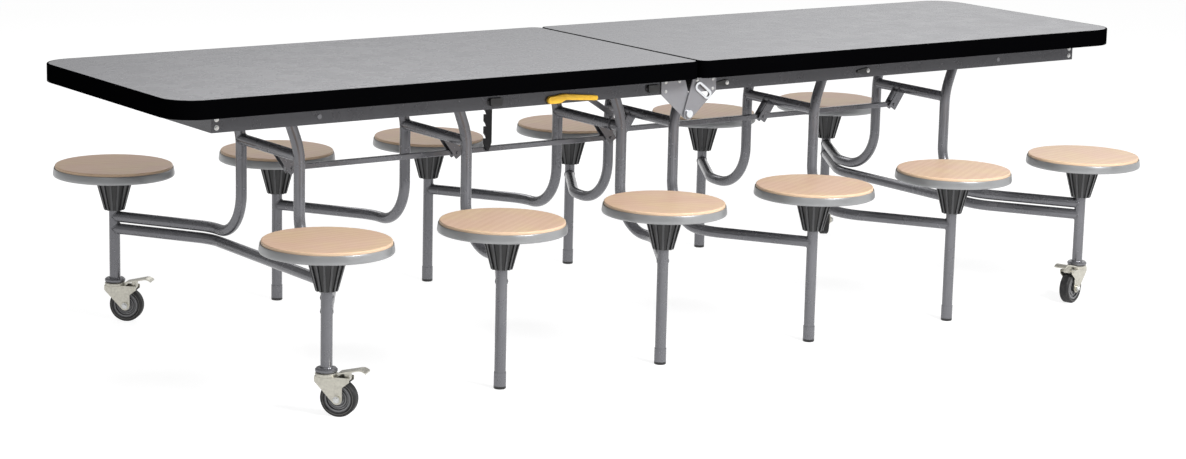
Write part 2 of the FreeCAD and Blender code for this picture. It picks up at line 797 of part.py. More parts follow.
def seat_hub():
    """A ribbed conical bush on the column's top, under the seat."""
    top = HUB_TOP_DIAMETER / 2
    bottom = HUB_BOTTOM_DIAMETER / 2
    bore = TUBE_RADIUS + SLEEVE_CLEARANCE
    flange_z = HUB_TOP - HUB_FLANGE
    core_top = top - HUB_RIB_HEIGHT
    core_bottom = bottom - HUB_RIB_HEIGHT
    body = revolved(polyline([
        V(bore, 0, HUB_BOTTOM),
        V(core_bottom, 0, HUB_BOTTOM),
        V(core_top, 0, flange_z),
        V(top, 0, flange_z),
        V(top, 0, HUB_TOP),
        V(bore, 0, HUB_TOP),
    ]))
    inside = (core_bottom + bore) / 2
    half = HUB_RIB_WIDTH / 2
    rib_outline = polyline([
        V(inside, 0, HUB_BOTTOM),
        V(bottom, 0, HUB_BOTTOM),
        V(top, 0, flange_z),
        V(inside, 0, flange_z),
    ])
    rib = profile_plate(rib_outline, -half, half)
    ribs = [rib.rotated(ORIGIN, Z_AXIS, 360.0 * index / HUB_RIBS) for index in range(HUB_RIBS)]
    return fused([body] + ribs)


def glide():
    """A foot as wide as the ferrule, with a spigot inside the column."""
    spigot = SPIGOT_DIAMETER / 2
    spigot_top = GLIDE_HEIGHT + SPIGOT_LENGTH
    return revolved(polyline([
        ORIGIN,
        V(FERRULE_RADIUS - GLIDE_ROUND, 0, 0),
        V(FERRULE_RADIUS, 0, GLIDE_ROUND),
        V(FERRULE_RADIUS, 0, GLIDE_HEIGHT),
        V(spigot, 0, GLIDE_HEIGHT),
        V(spigot, 0, spigot_top),
        V(0, 0, spigot_top),
    ]))


def pivot_bumper(number, row):
    """A round-bottomed bumper outside the rail, on the end of a pivot pin."""
    x = pivot_x(number) - side_of(number) * BUMPER_STEP
    half = BUMPER_LENGTH / 2
    top = PIVOT_Z + BUMPER_HEIGHT / 2 - BUMPER_CORNER
    bottom = PIVOT_Z - BUMPER_HEIGHT / 2 + BUMPER_ROUND
    outline = [
        (x - half + BUMPER_CORNER, top, BUMPER_CORNER),
        (x - half + BUMPER_ROUND, bottom, BUMPER_ROUND),
        (x + half - BUMPER_ROUND, bottom, BUMPER_ROUND),
        (x + half - BUMPER_CORNER, top, BUMPER_CORNER),
    ]
    near = row * (RAIL_Y + FACE_CLEARANCE)
    return belt_plate(outline, near, near + row * BUMPER_THICKNESS)


def pivot_keeper(number, row):
    """A slim keeper that points from a pivot pin towards the seam."""
    x = pivot_x(number)
    tail_x = x - side_of(number) * (KEEPER_LENGTH - KEEPER_TAIL)
    near = row * (RAIL_Y + FACE_CLEARANCE)
    outline = [(x, PIVOT_Z, KEEPER_HEAD), (tail_x, PIVOT_Z, KEEPER_TAIL)]
    return belt_plate(outline, near, near + row * KEEPER_THICKNESS)


def hubs_and_caps(number):
    """The black mouldings of one leg frame."""
    solids = []
    for row in (FRONT, BACK):
        place = V(column_x(number), row * ROW_Y, 0)
        solids.append(seat_hub().translated(place))
        if number not in END_FRAMES:
            solids.append(glide().translated(place))
            pivot_cap = pivot_bumper if row == side_of(number) else pivot_keeper
            solids.append(pivot_cap(number, row))
    return Part.makeCompound(solids)


# ----------------------------------------------------------------------------- seats


def seat_board():
    """Round plywood seat with a softened upper edge."""
    board = cylinder(SEAT_DIAMETER / 2, V(0, 0, SEAT_HEIGHT - SEAT_BOARD), Z_AXIS, SEAT_BOARD)
    rims = [edge for edge in board.Edges if isinstance(edge.Curve, Part.Circle)]
    upper = [edge for edge in rims if edge.CenterOfMass.z > SEAT_HEIGHT - SEAT_BOARD / 2]
    return board.makeFillet(SEAT_EDGE_ROUND, upper)


def seat_pan():
    """Pressed dish with an upright band round the board, bosses and a spindle."""
    rim = PAN_DIAMETER / 2
    flat = PAN_FLOOR_DIAMETER / 2
    rim_top = SEAT_HEIGHT - PAN_RIM_DROP
    band_bottom = rim_top - PAN_BAND
    outer = [
        V(0, 0, PAN_BOTTOM),
        V(flat, 0, PAN_BOTTOM),
        V(rim, 0, band_bottom),
        V(rim, 0, rim_top),
    ]
    inner = [
        V(rim - PAN_WALL, 0, rim_top),
        V(rim - PAN_WALL, 0, band_bottom + PAN_WALL),
        V(flat, 0, PAN_BOTTOM + PAN_WALL),
        V(0, 0, PAN_BOTTOM + PAN_WALL),
    ]
    profile = rounded_path(outer, [PAN_FLOOR_BEND, PAN_CORNER]).Edges
    profile.append(line(outer[-1], inner[0]))
    profile.extend(rounded_path(inner, [PAN_CORNER - PAN_WALL, PAN_FLOOR_BEND]).Edges)
    profile.append(line(inner[-1], outer[0]))
    pieces = [revolved(profile)]
    boss_height = SEAT_HEIGHT - SEAT_BOARD - PAN_BOTTOM
    boss = cylinder(
        SEAT_BOSS_DIAMETER / 2, V(SEAT_BOSS_CIRCLE / 2, 0, PAN_BOTTOM), Z_AXIS, boss_height)
    for index in range(SEAT_BOSSES):
        pieces.append(boss.rotated(ORIGIN, Z_AXIS, 360.0 * (index + 0.5) / SEAT_BOSSES))
    spindle_bottom = V(0, 0, PAN_BOTTOM - SPINDLE_LENGTH)
    pieces.append(cylinder(SPINDLE_DIAMETER / 2, spindle_bottom, Z_AXIS, SPINDLE_LENGTH + PAN_WALL))
    return fused(pieces)


# ---------------------------------------------------------------------- safety stay


def stay_tooth(edge_x, z, y_from, y_to):
    """The tool that cuts one tooth into the stay's outer edge."""
    outside = edge_x - OVERCUT
    return profile_plate(polyline([
        V(outside, 0, z),
        V(edge_x + STAY_TOOTH_DEPTH, 0, z),
        V(edge_x + STAY_TOOTH_HEEL, 0, z + STAY_TOOTH_RISE),
        V(outside, 0, z + STAY_TOOTH_HEIGHT),
    ]), y_from, y_to)


def safety_stay():
    """A flat notched bar that hangs beside the left link bar."""
    low_y, high_y = stay_y()
    pivot = stay_pivot()
    half = STAY_WIDTH / 2
    bottom = pivot.z - STAY_LENGTH
    shoulder_x = half - STAY_CORNER
    shoulder_z = bottom + STAY_POINT
    bar = belt_plate([
        (pivot.x, bottom + STAY_CORNER, STAY_CORNER),
        (pivot.x + shoulder_x, shoulder_z, STAY_CORNER),
        (pivot.x, pivot.z, half),
        (pivot.x - shoulder_x, shoulder_z, STAY_CORNER),
    ], low_y, high_y)
    from_y = low_y - OVERCUT
    to_y = high_y + OVERCUT
    cuts = [cross_cylinder(STAY_PIN_DIAMETER / 2 + PIN_CLEARANCE, pivot.x, pivot.z, from_y, to_y)]
    for index in range(STAY_TEETH):
        z = bottom + STAY_FIRST_TOOTH + index * STAY_TOOTH_PITCH
        cuts.append(stay_tooth(pivot.x - half, z, from_y, to_y))
    return cut_by(bar, cuts)


# -------------------------------------------------------------------- release lever


def lever_grip():
    """A slim handle with a deeper head, outside the front rail."""
    pivot = lever_pivot()
    near = -RAIL_Y - SIDE_CLEARANCE
    far = near - GRIP_THICKNESS
    shoulder_x, shoulder_rise, shoulder_radius = GRIP_SHOULDER
    shoulder = (pivot.x + shoulder_x, pivot.z + shoulder_rise, shoulder_radius)
    head_z = pivot.z + GRIP_HEAD_RISE
    head_far = pivot.x - GRIP_LENGTH + GRIP_HEAD
    head_near = head_far + GRIP_HEAD_LENGTH - 2 * GRIP_HEAD
    handle = [(pivot.x, pivot.z, GRIP_NECK), shoulder]
    head = [shoulder, (head_far, head_z, GRIP_HEAD), (head_near, head_z, GRIP_HEAD)]
    grip = fused([belt_plate(outline, near, far) for outline in (handle, head)])
    middle = (near + far) / 2
    return grip.makeFillet(GRIP_ROUND, [edge for edge in grip.Edges if edge.BoundBox.YMax < middle])


def latch_arm():
    """The shaft through the rail, and the arm that reaches the latched frame's lug."""
    pivot = lever_pivot()
    near = -LEVER_ARM_SIDE
    far = near - LEVER_ARM_THICKNESS
    half = LEVER_ARM_WIDTH / 2
    shaft_start = -RAIL_Y - SIDE_CLEARANCE
    shaft_end = near + 2 * SIDE_CLEARANCE + SHEET
    tip = latch_tip()
    knee = (pivot.x + LEVER_KNEE, pivot.z, half)
    return fused([
        cross_cylinder(LEVER_SHAFT_DIAMETER / 2, pivot.x, pivot.z, shaft_start, shaft_end),
        belt_plate([(pivot.x, pivot.z, LEVER_BOSS), knee], near, far),
        belt_plate([knee, (tip.x, tip.z, half)], near, far),
    ])


def release_lever():
    return Part.makeCompound([lever_grip(), latch_arm()])


# --------------------------------------------------------------------------- casters


def pedal_pivot():
    """The pedal turns on a pin behind the wheel's top, clear of the tread."""
    return CASTER_TRAIL + PEDAL_PIVOT_STEP, CROWN_BOTTOM - PEDAL_PIVOT_DROP


def fork_cheeks():
    """Outlines of one fork plate: a triangle down to the axle and a flare to the pedal's pin."""
    pedal_x, pedal_z = pedal_pivot()
    top = CROWN_BOTTOM + FORK_PLATE - FORK_CORNER
    back = -FORK_BACK + FORK_CORNER
    flank = CASTER_TRAIL + FORK_END_RADIUS - FORK_CORNER
    flare = pedal_x + FORK_FLARE_REACH - FORK_CORNER
    triangle = [
        (back, top, FORK_CORNER),
        (back, top - FORK_CHEEK, FORK_CORNER),
        (CASTER_TRAIL, WHEEL_RADIUS, FORK_END_RADIUS),
        (flank, top, FORK_CORNER),
    ]
    flared = [
        (CASTER_TRAIL, top, FORK_CORNER),
        (flank, WHEEL_RADIUS + FORK_FLARE_RISE, FORK_CORNER),
        (flare, pedal_z - FORK_FLARE_DROP + FORK_CORNER, FORK_CORNER),
        (flare, top, FORK_CORNER),
    ]
    return triangle, flared


def fork_crown():
    """Turned crown with its edges broken."""
    radius = CROWN_DIAMETER / 2
    return revolved(polyline([
        V(0, 0, CROWN_BOTTOM),
        V(radius - CROWN_CHAMFER, 0, CROWN_BOTTOM),
        V(radius, 0, CROWN_BOTTOM + CROWN_CHAMFER),
        V(radius, 0, CROWN_TOP - CROWN_CHAMFER),
        V(radius - CROWN_CHAMFER, 0, CROWN_TOP),
        V(0, 0, CROWN_TOP),
    ]))


def caster_fork():
    """Crown, bridge, two pressed cheeks, axle with its nuts and the pedal's pin."""
    inner = FORK_INNER_WIDTH / 2
    outer = inner + FORK_PLATE
    nut_end = outer + AXLE_NUT
    pin_end = outer + SIDE_CLEARANCE
    pedal_x, pedal_z = pedal_pivot()
    pieces = [fork_crown()]
    pieces.append(block(
        (-FORK_BACK, -outer, CROWN_BOTTOM), (CASTER_TRAIL, outer, CROWN_BOTTOM + FORK_PLATE)))
    for away in (-1, 1):
        for outline in fork_cheeks():
            pieces.append(belt_plate(outline, away * inner, away * outer))
        pieces.append(cross_cylinder(
            AXLE_NUT_DIAMETER / 2, CASTER_TRAIL, WHEEL_RADIUS, away * outer, away * nut_end))
    pieces.append(cross_cylinder(AXLE_DIAMETER / 2, CASTER_TRAIL, WHEEL_RADIUS, -nut_end, nut_end))
    pieces.append(cross_cylinder(PEDAL_PIVOT_DIAMETER / 2, pedal_x, pedal_z, -pin_end, pin_end))
    bore_start = V(0, 0, CROWN_BOTTOM - OVERCUT)
    bore = cylinder(KINGPIN_DIAMETER / 2 + PIN_CLEARANCE, bore_start, Z_AXIS, CROWN_HEIGHT + 2 * OVERCUT)
    return fused(pieces).cut(bore)


def wheel_core():
    """Turned core: a hub, a dished web with a ridge, and a rim, the same on both sides."""
    bore = AXLE_DIAMETER / 2 + PIN_CLEARANCE
    hub = WHEEL_HUB_DIAMETER / 2
    seat = WHEEL_RADIUS - TYRE_DEPTH
    rim = seat - CORE_RIM
    ridge = (hub + rim - CORE_RIDGE) / 2
    ridge_end = ridge + CORE_RIDGE
    hub_y = -WHEEL_HUB_WIDTH / 2
    rim_y = -CORE_WIDTH / 2
    web_y = rim_y + CORE_DISH
    ridge_y = web_y - CORE_RIDGE_STAND
    half = [
        V(bore, hub_y, 0), V(hub, hub_y, 0),
        V(hub, web_y, 0), V(ridge, web_y, 0),
        V(ridge, ridge_y, 0), V(ridge_end, ridge_y, 0),
        V(ridge_end, web_y, 0), V(rim, web_y, 0),
        V(rim, rim_y, 0), V(seat, rim_y, 0),
    ]
    return revolved(polyline(half + [V(p.x, -p.y, 0) for p in reversed(half)]), Y_AXIS)


def wheel_tyre():
    """Tyre with rounded shoulders and a flat tread."""
    seat = WHEEL_RADIUS - TYRE_DEPTH
    side = TYRE_WIDTH / 2
    tread = TREAD_WIDTH / 2
    bead = seat + 2 * TYRE_SIDE
    shoulder_x = WHEEL_RADIUS - TYRE_SIDE
    shoulder_y = side - TYRE_BULGE
    return revolved([
        line(V(seat, -side + TYRE_SIDE, 0), V(bead, -side, 0)),
        arc(V(bead, -side, 0), V(shoulder_x, -shoulder_y, 0), V(WHEEL_RADIUS, -tread, 0)),
        line(V(WHEEL_RADIUS, -tread, 0), V(WHEEL_RADIUS, tread, 0)),
        arc(V(WHEEL_RADIUS, tread, 0), V(shoulder_x, shoulder_y, 0), V(bead, side, 0)),
        line(V(bead, side, 0), V(seat, side - TYRE_SIDE, 0)),
        line(V(seat, side - TYRE_SIDE, 0), V(seat, -side + TYRE_SIDE, 0)),
    ], Y_AXIS)


def caster_wheel():
    place = V(CASTER_TRAIL, 0, WHEEL_RADIUS)
    return Part.makeCompound([wheel_core().translated(place), wheel_tyre().translated(place)])


def brake_pedal():
    """Treadle plate with a curled toe, on a lug between the fork's cheeks."""
    pin_x, pin_z = pedal_pivot()
    drop = V(0, 0, -PEDAL_PLATE)
    start = V(CROWN_DIAMETER / 2 + PEDAL_START, 0, CROWN_TOP + PEDAL_HEIGHT)
    rise = V(PEDAL_REACH - PEDAL_CURL, 0, start.z + PEDAL_RISE)
    toe = V(PEDAL_REACH, 0, rise.z - PEDAL_CURL_DROP)
    crest = (rise + toe) / 2 + V(0, 0, PEDAL_BULGE)
    treadle = profile_plate([
        line(start, rise),
        arc(rise, crest, toe),
        line(toe, toe + drop),
        arc(toe + drop, crest + drop, rise + drop),
        line(rise + drop, start + drop),
        line(start + drop, start),
    ], -PEDAL_WIDTH / 2, PEDAL_WIDTH / 2)
    slope = PEDAL_RISE / (rise.x - start.x)
    under = start.z + slope * (pin_x - start.x) - PEDAL_PLATE
    half_foot = PEDAL_LUG_RADIUS - PEDAL_LUG_CORNER
    lug_half = PEDAL_LUG_WIDTH / 2
    lug = belt_plate([
        (pin_x, pin_z, PEDAL_LUG_RADIUS),
        (pin_x + half_foot, under, PEDAL_LUG_CORNER),
        (pin_x - half_foot, under, PEDAL_LUG_CORNER),
    ], -lug_half, lug_half)
    hole_radius = PEDAL_PIVOT_DIAMETER / 2 + PIN_CLEARANCE
    hole = cross_cylinder(hole_radius, pin_x, pin_z, -lug_half - OVERCUT, lug_half + OVERCUT)
    return fused([treadle, lug]).cut(hole)


# ------------------------------------------------------------------------- assembly

SIDE_NAME = {LEFT: "left", RIGHT: "right"}
ROW_NAME = {FRONT: "front", BACK: "back"}


def caster_nodes():
    kinds = {"caster_fork": caster_fork(), "caster_wheel": caster_wheel(), "brake_pedal": brake_pedal()}
    nodes = {}
    for number in END_FRAMES:
        side = side_of(number)
        for row in (FRONT, BACK):
            place = V(column_x(number), row * ROW_Y, 0)
            for kind, shape in kinds.items():
                turned = shape.rotated(ORIGIN, Z_AXIS, CASTER_TURN[side, row])
                nodes[f"{kind}_{ROW_NAME[row]}_{SIDE_NAME[side]}"] = turned.translated(place)
    return nodes


def seat_nodes():
    board = seat_board()
    pan = seat_pan()
    nodes = {}
    for number in FRAME_NUMBERS:
        for row in (FRONT, BACK):
            place = V(column_x(number), row * ROW_Y, 0)
            nodes[f"seat_board_{ROW_NAME[row]}_{number}"] = board.translated(place)
            nodes[f"seat_pan_{ROW_NAME[row]}_{number}"] = pan.translated(place)
    return nodes


def all_nodes():
    nodes = {}
    for side in (LEFT, RIGHT):
        name = SIDE_NAME[side]
        nodes[f"table_board_{name}"] = table_board(side)
        nodes[f"table_edge_{name}"] = table_edge(side)
        nodes[f"underframe_{name}"] = underframe(side)
        nodes[f"link_bar_{name}"] = link_bar(side)
    nodes["hinge_plates_left"] = hinge_plates_left()
    nodes["hinge_plates_right"] = hinge_plates_right()
    nodes["safety_stay"] = safety_stay()
    nodes["release_lever"] = release_lever()
    for number in FRAME_NUMBERS:
        nodes[f"leg_frame_{number}"] = leg_frame(number)
        nodes[f"frame_{number}_hubs_and_caps"] = hubs_and_caps(number)
    nodes.update(seat_nodes())
    nodes.update(caster_nodes())
    return nodes


def main():
    os.makedirs("parts", exist_ok=True)
    for name, shape in all_nodes().items():
        if not shape.isValid():
            raise ValueError(f"{name} is not a valid solid")
        shape.exportStep(f"parts/{name}.step")
        print(f"{name}: {len(shape.Solids)} solids, {shape.Volume / 1e3:.1f} cm3")


main()
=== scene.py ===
import json
import math
import random

import bmesh
import bpy
from mathutils import Matrix, Vector
from mathutils.bvhtree import BVHTree


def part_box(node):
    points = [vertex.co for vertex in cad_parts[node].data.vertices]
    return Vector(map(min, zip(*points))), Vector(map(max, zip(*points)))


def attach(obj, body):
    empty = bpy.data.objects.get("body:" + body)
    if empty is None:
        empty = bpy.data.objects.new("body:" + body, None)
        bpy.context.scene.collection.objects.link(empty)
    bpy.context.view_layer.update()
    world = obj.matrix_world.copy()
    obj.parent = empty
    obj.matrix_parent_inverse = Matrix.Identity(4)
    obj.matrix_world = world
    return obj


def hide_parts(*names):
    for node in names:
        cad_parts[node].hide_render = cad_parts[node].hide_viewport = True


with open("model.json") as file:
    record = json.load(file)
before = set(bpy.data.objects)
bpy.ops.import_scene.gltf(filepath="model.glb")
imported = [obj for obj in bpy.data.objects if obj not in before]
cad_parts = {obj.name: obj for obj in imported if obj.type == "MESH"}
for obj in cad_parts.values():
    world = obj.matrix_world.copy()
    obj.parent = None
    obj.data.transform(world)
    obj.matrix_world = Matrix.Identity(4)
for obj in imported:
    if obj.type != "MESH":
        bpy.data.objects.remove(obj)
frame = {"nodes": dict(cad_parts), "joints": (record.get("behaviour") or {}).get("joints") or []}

# A folding canteen table with twelve swivel seats: its finishes, its small fastenings and
# welds, and the studio that it stands in. Sizes are in metres.

# ------------------------------------------------------------------ places on the table

NODES = frame["nodes"]
JOINTS = {joint["name"]: joint for joint in frame["joints"]}
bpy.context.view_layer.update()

UP = Vector((0, 0, 1))
FRAMES = range(1, 7)
END_FRAMES = (1, 6)
ROWS = {"front": -1, "back": 1}
SIDES = {"left": -1, "right": 1}

RAIL_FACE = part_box("underframe_left")[1].y
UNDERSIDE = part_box("underframe_left")[1].z
RAIL_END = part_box("underframe_right")[1].x
SEAT_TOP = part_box("seat_board_front_1")[1].z

SHEET = 0.003
HINGE_PLATE = 0.004
PLATE_GAP = 0.0005
KEEPER = 0.0045
TUBE_RADIUS = 0.0143
LEG_STEP = 0.158
LEG_Y = 0.150
ARM_Y = 0.310
ARM_HEIGHT = 0.268
END_ARM_HEIGHT = 0.282
LOWER_ARM_DROP = 0.0326
CROSS_TUBE_DROP = 0.128
RACE_TOP = 0.1155
PAN_DEPTH = 0.034
PAN_SCREW_CIRCLE = 0.085
AXLE_END = 0.024


def place_of(joint_name):
    return Vector(JOINTS[joint_name]["pos_m"])


def axis_of(joint_name):
    return Vector(JOINTS[joint_name]["axis"])


def outward(number):
    """The way along the table from the seam to a leg frame."""
    return -1 if number <= 3 else 1


def pivot_of(number):
    """Where a leg frame turns on its board; the first frame's joint is the fold itself."""
    return place_of("fold" if number == 1 else f"frame_{number}_pivot")


def column_of(row, number):
    return place_of(f"seat_{row}_{number}_swivel")


def added(name, data):
    """A new object in the scene that carries some data."""
    new = bpy.data.objects.new(name, data)
    bpy.context.scene.collection.objects.link(new)
    return new


# ------------------------------------------------------------------ camera

CAMERA_PLACE = Vector((-4.50178, -6.21570, 1.77772))
CAMERA_YAW = math.radians(35.5177)
CAMERA_PITCH = math.radians(11.4416)
CAMERA_ROLL = math.radians(1.3551)
CAMERA_LENS = 86.64
SENSOR_WIDTH = 36.0


def add_camera():
    ahead = Vector((
        math.sin(CAMERA_YAW) * math.cos(CAMERA_PITCH),
        math.cos(CAMERA_YAW) * math.cos(CAMERA_PITCH),
        -math.sin(CAMERA_PITCH)))
    level = ahead.cross(UP).normalized()
    upright = level.cross(ahead)
    right = math.cos(CAMERA_ROLL) * level + math.sin(CAMERA_ROLL) * upright
    up = math.cos(CAMERA_ROLL) * upright - math.sin(CAMERA_ROLL) * level
    data = bpy.data.cameras.new("camera")
    data.lens = CAMERA_LENS
    data.sensor_width = SENSOR_WIDTH
    camera = added("camera", data)
    turn = Matrix((right, up, -ahead)).transposed().to_4x4()
    camera.matrix_world = Matrix.Translation(CAMERA_PLACE) @ turn
    bpy.context.scene.camera = camera


# ------------------------------------------------------------------ finishes


def linear(*display):
    """A display colour in 0 to 255, as the linear colour that shaders take."""
    def one(value):
        share = value / 255
        return share / 12.92 if share <= 0.04045 else ((share + 0.055) / 1.055) ** 2.4
    return tuple(one(v) for v in display) + (1.0,)


# Where a Mix node keeps its plain values and its colours.
MIX_VALUES = (2, 3)
MIX_VALUE_OUT = 0
MIX_COLOURS = (6, 7)
MIX_COLOUR_OUT = 2
COAT_ROUGHNESS = 0.12


class Finish:
    """A procedural material on Object coordinates, built a node at a time."""

    def __init__(self, name, colour, roughness, metallic=0.0, specular=0.5, coat=0.0):
        self.material = bpy.data.materials.new(name)
        self.material.use_nodes = True
        self.tree = self.material.node_tree
        self.shader = self.tree.nodes["Principled BSDF"]
        self.coords = self.node("ShaderNodeTexCoord").outputs["Object"]
        self.shader.inputs["Base Color"].default_value = colour
        self.shader.inputs["Roughness"].default_value = roughness
        self.shader.inputs["Metallic"].default_value = metallic
        self.shader.inputs["Specular IOR Level"].default_value = specular
        self.shader.inputs["Coat Weight"].default_value = coat
        self.shader.inputs["Coat Roughness"].default_value = COAT_ROUGHNESS

    def node(self, kind, **settings):
        new = self.tree.nodes.new(kind)
        for key, value in settings.items():
            setattr(new, key, value)
        return new

    def feed(self, socket, value):
        """Links a socket, or sets it to a plain value."""
        if isinstance(value, bpy.types.NodeSocket):
            self.tree.links.new(value, socket)
        else:
            socket.default_value = value

    def math(self, operation, first, second=0.0):
        new = self.node("ShaderNodeMath", operation=operation)
        self.feed(new.inputs[0], first)
        self.feed(new.inputs[1], second)
        return new.outputs[0]

    def placed(self, stretch=(1, 1, 1), shift=(0, 0, 0), turn=(0, 0, 0), source=None):
        """Coordinates stretched, moved or turned for one pattern."""
        new = self.node("ShaderNodeMapping")
        self.feed(new.inputs["Vector"], source or self.coords)
        new.inputs["Location"].default_value = shift
        new.inputs["Rotation"].default_value = turn
        new.inputs["Scale"].default_value = stretch
        return new.outputs[0]

    def noise(self, scale, detail=3.0, rough=0.55, source=None):
        new = self.node("ShaderNodeTexNoise")
        self.feed(new.inputs["Vector"], source or self.coords)
        new.inputs["Scale"].default_value = scale
        new.inputs["Detail"].default_value = detail
        new.inputs["Roughness"].default_value = rough
        return new.outputs["Fac"]

    def ramp(self, value, *stops):
        """Maps a value to colours given as (position, colour)."""
        new = self.node("ShaderNodeValToRGB")
        self.feed(new.inputs[0], value)
        band = new.color_ramp
        while len(band.elements) < len(stops):
            band.elements.new(0.5)
        for element, (position, colour) in zip(band.elements, stops):
            element.position = position
            element.color = colour if isinstance(colour, tuple) else (colour, colour, colour, 1)
        return new.outputs[0]

    def mix(self, share, first, second):
        new = self.node("ShaderNodeMix", data_type="RGBA")
        self.feed(new.inputs["Factor"], share)
        self.feed(new.inputs[MIX_COLOURS[0]], first)
        self.feed(new.inputs[MIX_COLOURS[1]], second)
        return new.outputs[MIX_COLOUR_OUT]

    def blend(self, share, first, second):
        new = self.node("ShaderNodeMix", data_type="FLOAT")
        self.feed(new.inputs["Factor"], share)
        self.feed(new.inputs[MIX_VALUES[0]], first)
        self.feed(new.inputs[MIX_VALUES[1]], second)
        return new.outputs[MIX_VALUE_OUT]

    def axes(self, source=None):
        new = self.node("ShaderNodeSeparateXYZ")
        self.feed(new.inputs[0], source or self.coords)
        return new.outputs

    def colour(self, value):
        self.feed(self.shader.inputs["Base Color"], value)

    def roughness(self, value):
        self.feed(self.shader.inputs["Roughness"], value)

    def metallic(self, value):
        self.feed(self.shader.inputs["Metallic"], value)

    def bump(self, height, distance, strength):
        new = self.node("ShaderNodeBump")
        new.inputs["Strength"].default_value = strength
        new.inputs["Distance"].default_value = distance
        self.feed(new.inputs["Height"], height)
        self.feed(self.shader.inputs["Normal"], new.outputs[0])


LAMINATE_GREY = linear(134, 134, 138)
EDGE_BLACK = linear(4, 4, 5)
EDGE_SCUFF = linear(30, 30, 32)
ENAMEL_GREY = linear(118, 118, 122)
# A darker copy of the frames' enamel grey for the rails: painted shade from the table top's overhang.
RAIL_SHADE_GREY = linear(74, 74, 77)
PLATE_GREY = linear(138, 138, 142)
STAY_BLACK = linear(40, 40, 42)
PAN_GREY = linear(156, 157, 158)
MOULDING_BLACK = linear(20, 20, 21)
MOULDING_DUST = linear(60, 60, 60)
# Painted highlight on the crests of the hubs' ribs.
RIB_CREST_HIGHLIGHT = linear(88, 88, 90)
BIRCH = linear(238, 204, 179)
BIRCH_DARK = linear(216, 173, 142)
BIRCH_HONEY = linear(240, 214, 172)
PLY_EDGE = linear(230, 202, 172)
PLY_DARK = linear(184, 146, 112)
ZINC = linear(196, 193, 182)
ZINC_BRIGHT = linear(206, 207, 206)
CHROME = linear(225, 227, 230)
GRIP_YELLOW = linear(238, 190, 52)
GRIP_SMUDGE = linear(206, 150, 30)
TYRE_BLACK = linear(34, 34, 35)
# Light rings on the tyre's side wall: painted highlights on its moulded rings.
TYRE_RING_HIGHLIGHT = linear(98, 97, 95)
TYRE_DUST = linear(84, 82, 79)
CORE_GREY = linear(128, 128, 130)
# Dark rings on the core: painted shade in its moulded rings.
CORE_GROOVE_SHADE = linear(52, 52, 54)

# The ribbed cone of a hub: the height of its foot, its own height, its root radius at the
# foot, the gain of that radius with height, and how far out of the root the painted highlight on the ribs'
# crests begins.
HUB_FOOT = 0.3005
HUB_CONE = 0.080
HUB_ROOT = 0.0235
HUB_TAPER = 0.26875
CREST_HIGHLIGHT_FROM = 0.0016

# A pale ply with a dark one, and the veneer over them.
PLY_PAIR = 0.0028
FACE_VENEER = 0.0012
# Radii where a wheel's tyre and its tread begin, and the pitch of the painted rings of light and shade
# inside them.
TYRE_SEAT = 0.0335
TYRE_WALL = 0.0395
CORE_RING = 0.0052


def shaded(colour, share):
    """A colour made lighter or darker by a share."""
    return tuple(min(1.0, c * share) for c in colour[:3]) + (1.0,)


def laminate():
    """High-pressure laminate: a fine two-tone speckle under a low satin texture."""
    f = Finish("laminate grey", LAMINATE_GREY, 0.27, specular=0.30)
    speck = f.noise(620.0, detail=2.0, rough=0.7)
    cloud = f.ramp(f.noise(2.2, detail=3.0), (0.35, 0.0), (0.70, 0.10))
    light = shaded(LAMINATE_GREY, 1.08)
    dark = shaded(LAMINATE_GREY, 0.90)
    grain = f.ramp(speck, (0.36, dark), (0.50, LAMINATE_GREY), (0.66, light))
    f.colour(f.mix(cloud, grain, light))
    f.roughness(f.ramp(f.noise(18.0, detail=5.0), (0.3, 0.24), (0.7, 0.31)))
    f.bump(f.noise(900.0, detail=2.0), 0.00005, 0.5)
    return f.material


def edge_moulding():
    """Gloss black edge with faint handling marks along it."""
    f = Finish("edge black", EDGE_BLACK, 0.3, specular=0.0)
    scuffs = f.noise(1.0, detail=6.0, rough=0.7, source=f.placed(stretch=(14, 60, 420)))
    marks = f.ramp(scuffs, (0.60, 0.0), (0.78, 1.0))
    f.colour(f.mix(f.math("MULTIPLY", marks, 0.08), EDGE_BLACK, EDGE_SCUFF))
    f.roughness(f.ramp(scuffs, (0.35, 0.24), (0.75, 0.42)))
    f.bump(f.noise(120.0, detail=2.0), 0.00012, 0.3)
    return f.material


def enamel(name, colour, sheen=0.25):
    """Sprayed metallic enamel on drawn tube and folded sheet."""
    f = Finish(name, colour, sheen, metallic=0.6, specular=0.5)
    drift = f.noise(7.0, detail=3.0)
    body = f.ramp(drift, (0.32, shaded(colour, 0.94)), (0.55, colour), (0.75, shaded(colour, 1.06)))
    f.colour(body)
    f.roughness(f.ramp(f.noise(30.0, detail=4.0), (0.3, sheen - 0.04), (0.7, sheen + 0.05)))
    f.bump(f.noise(160.0, detail=1.0), 0.00002, 0.2)
    return f


def hinge_enamel(name, bright_from):
    """The hinge plates' enamel, with bright metal beyond the outer plate's face."""
    f = enamel(name, PLATE_GREY, 0.32)
    bright = f.math("GREATER_THAN", f.math("ABSOLUTE", f.axes()[1]), bright_from)
    body = f.shader.inputs["Base Color"].links[0].from_socket
    sheen = f.shader.inputs["Roughness"].links[0].from_socket
    f.colour(f.mix(bright, body, CHROME))
    f.roughness(f.blend(bright, sheen, 0.20))
    f.metallic(f.blend(bright, 0.5, 1.0))
    return f.material


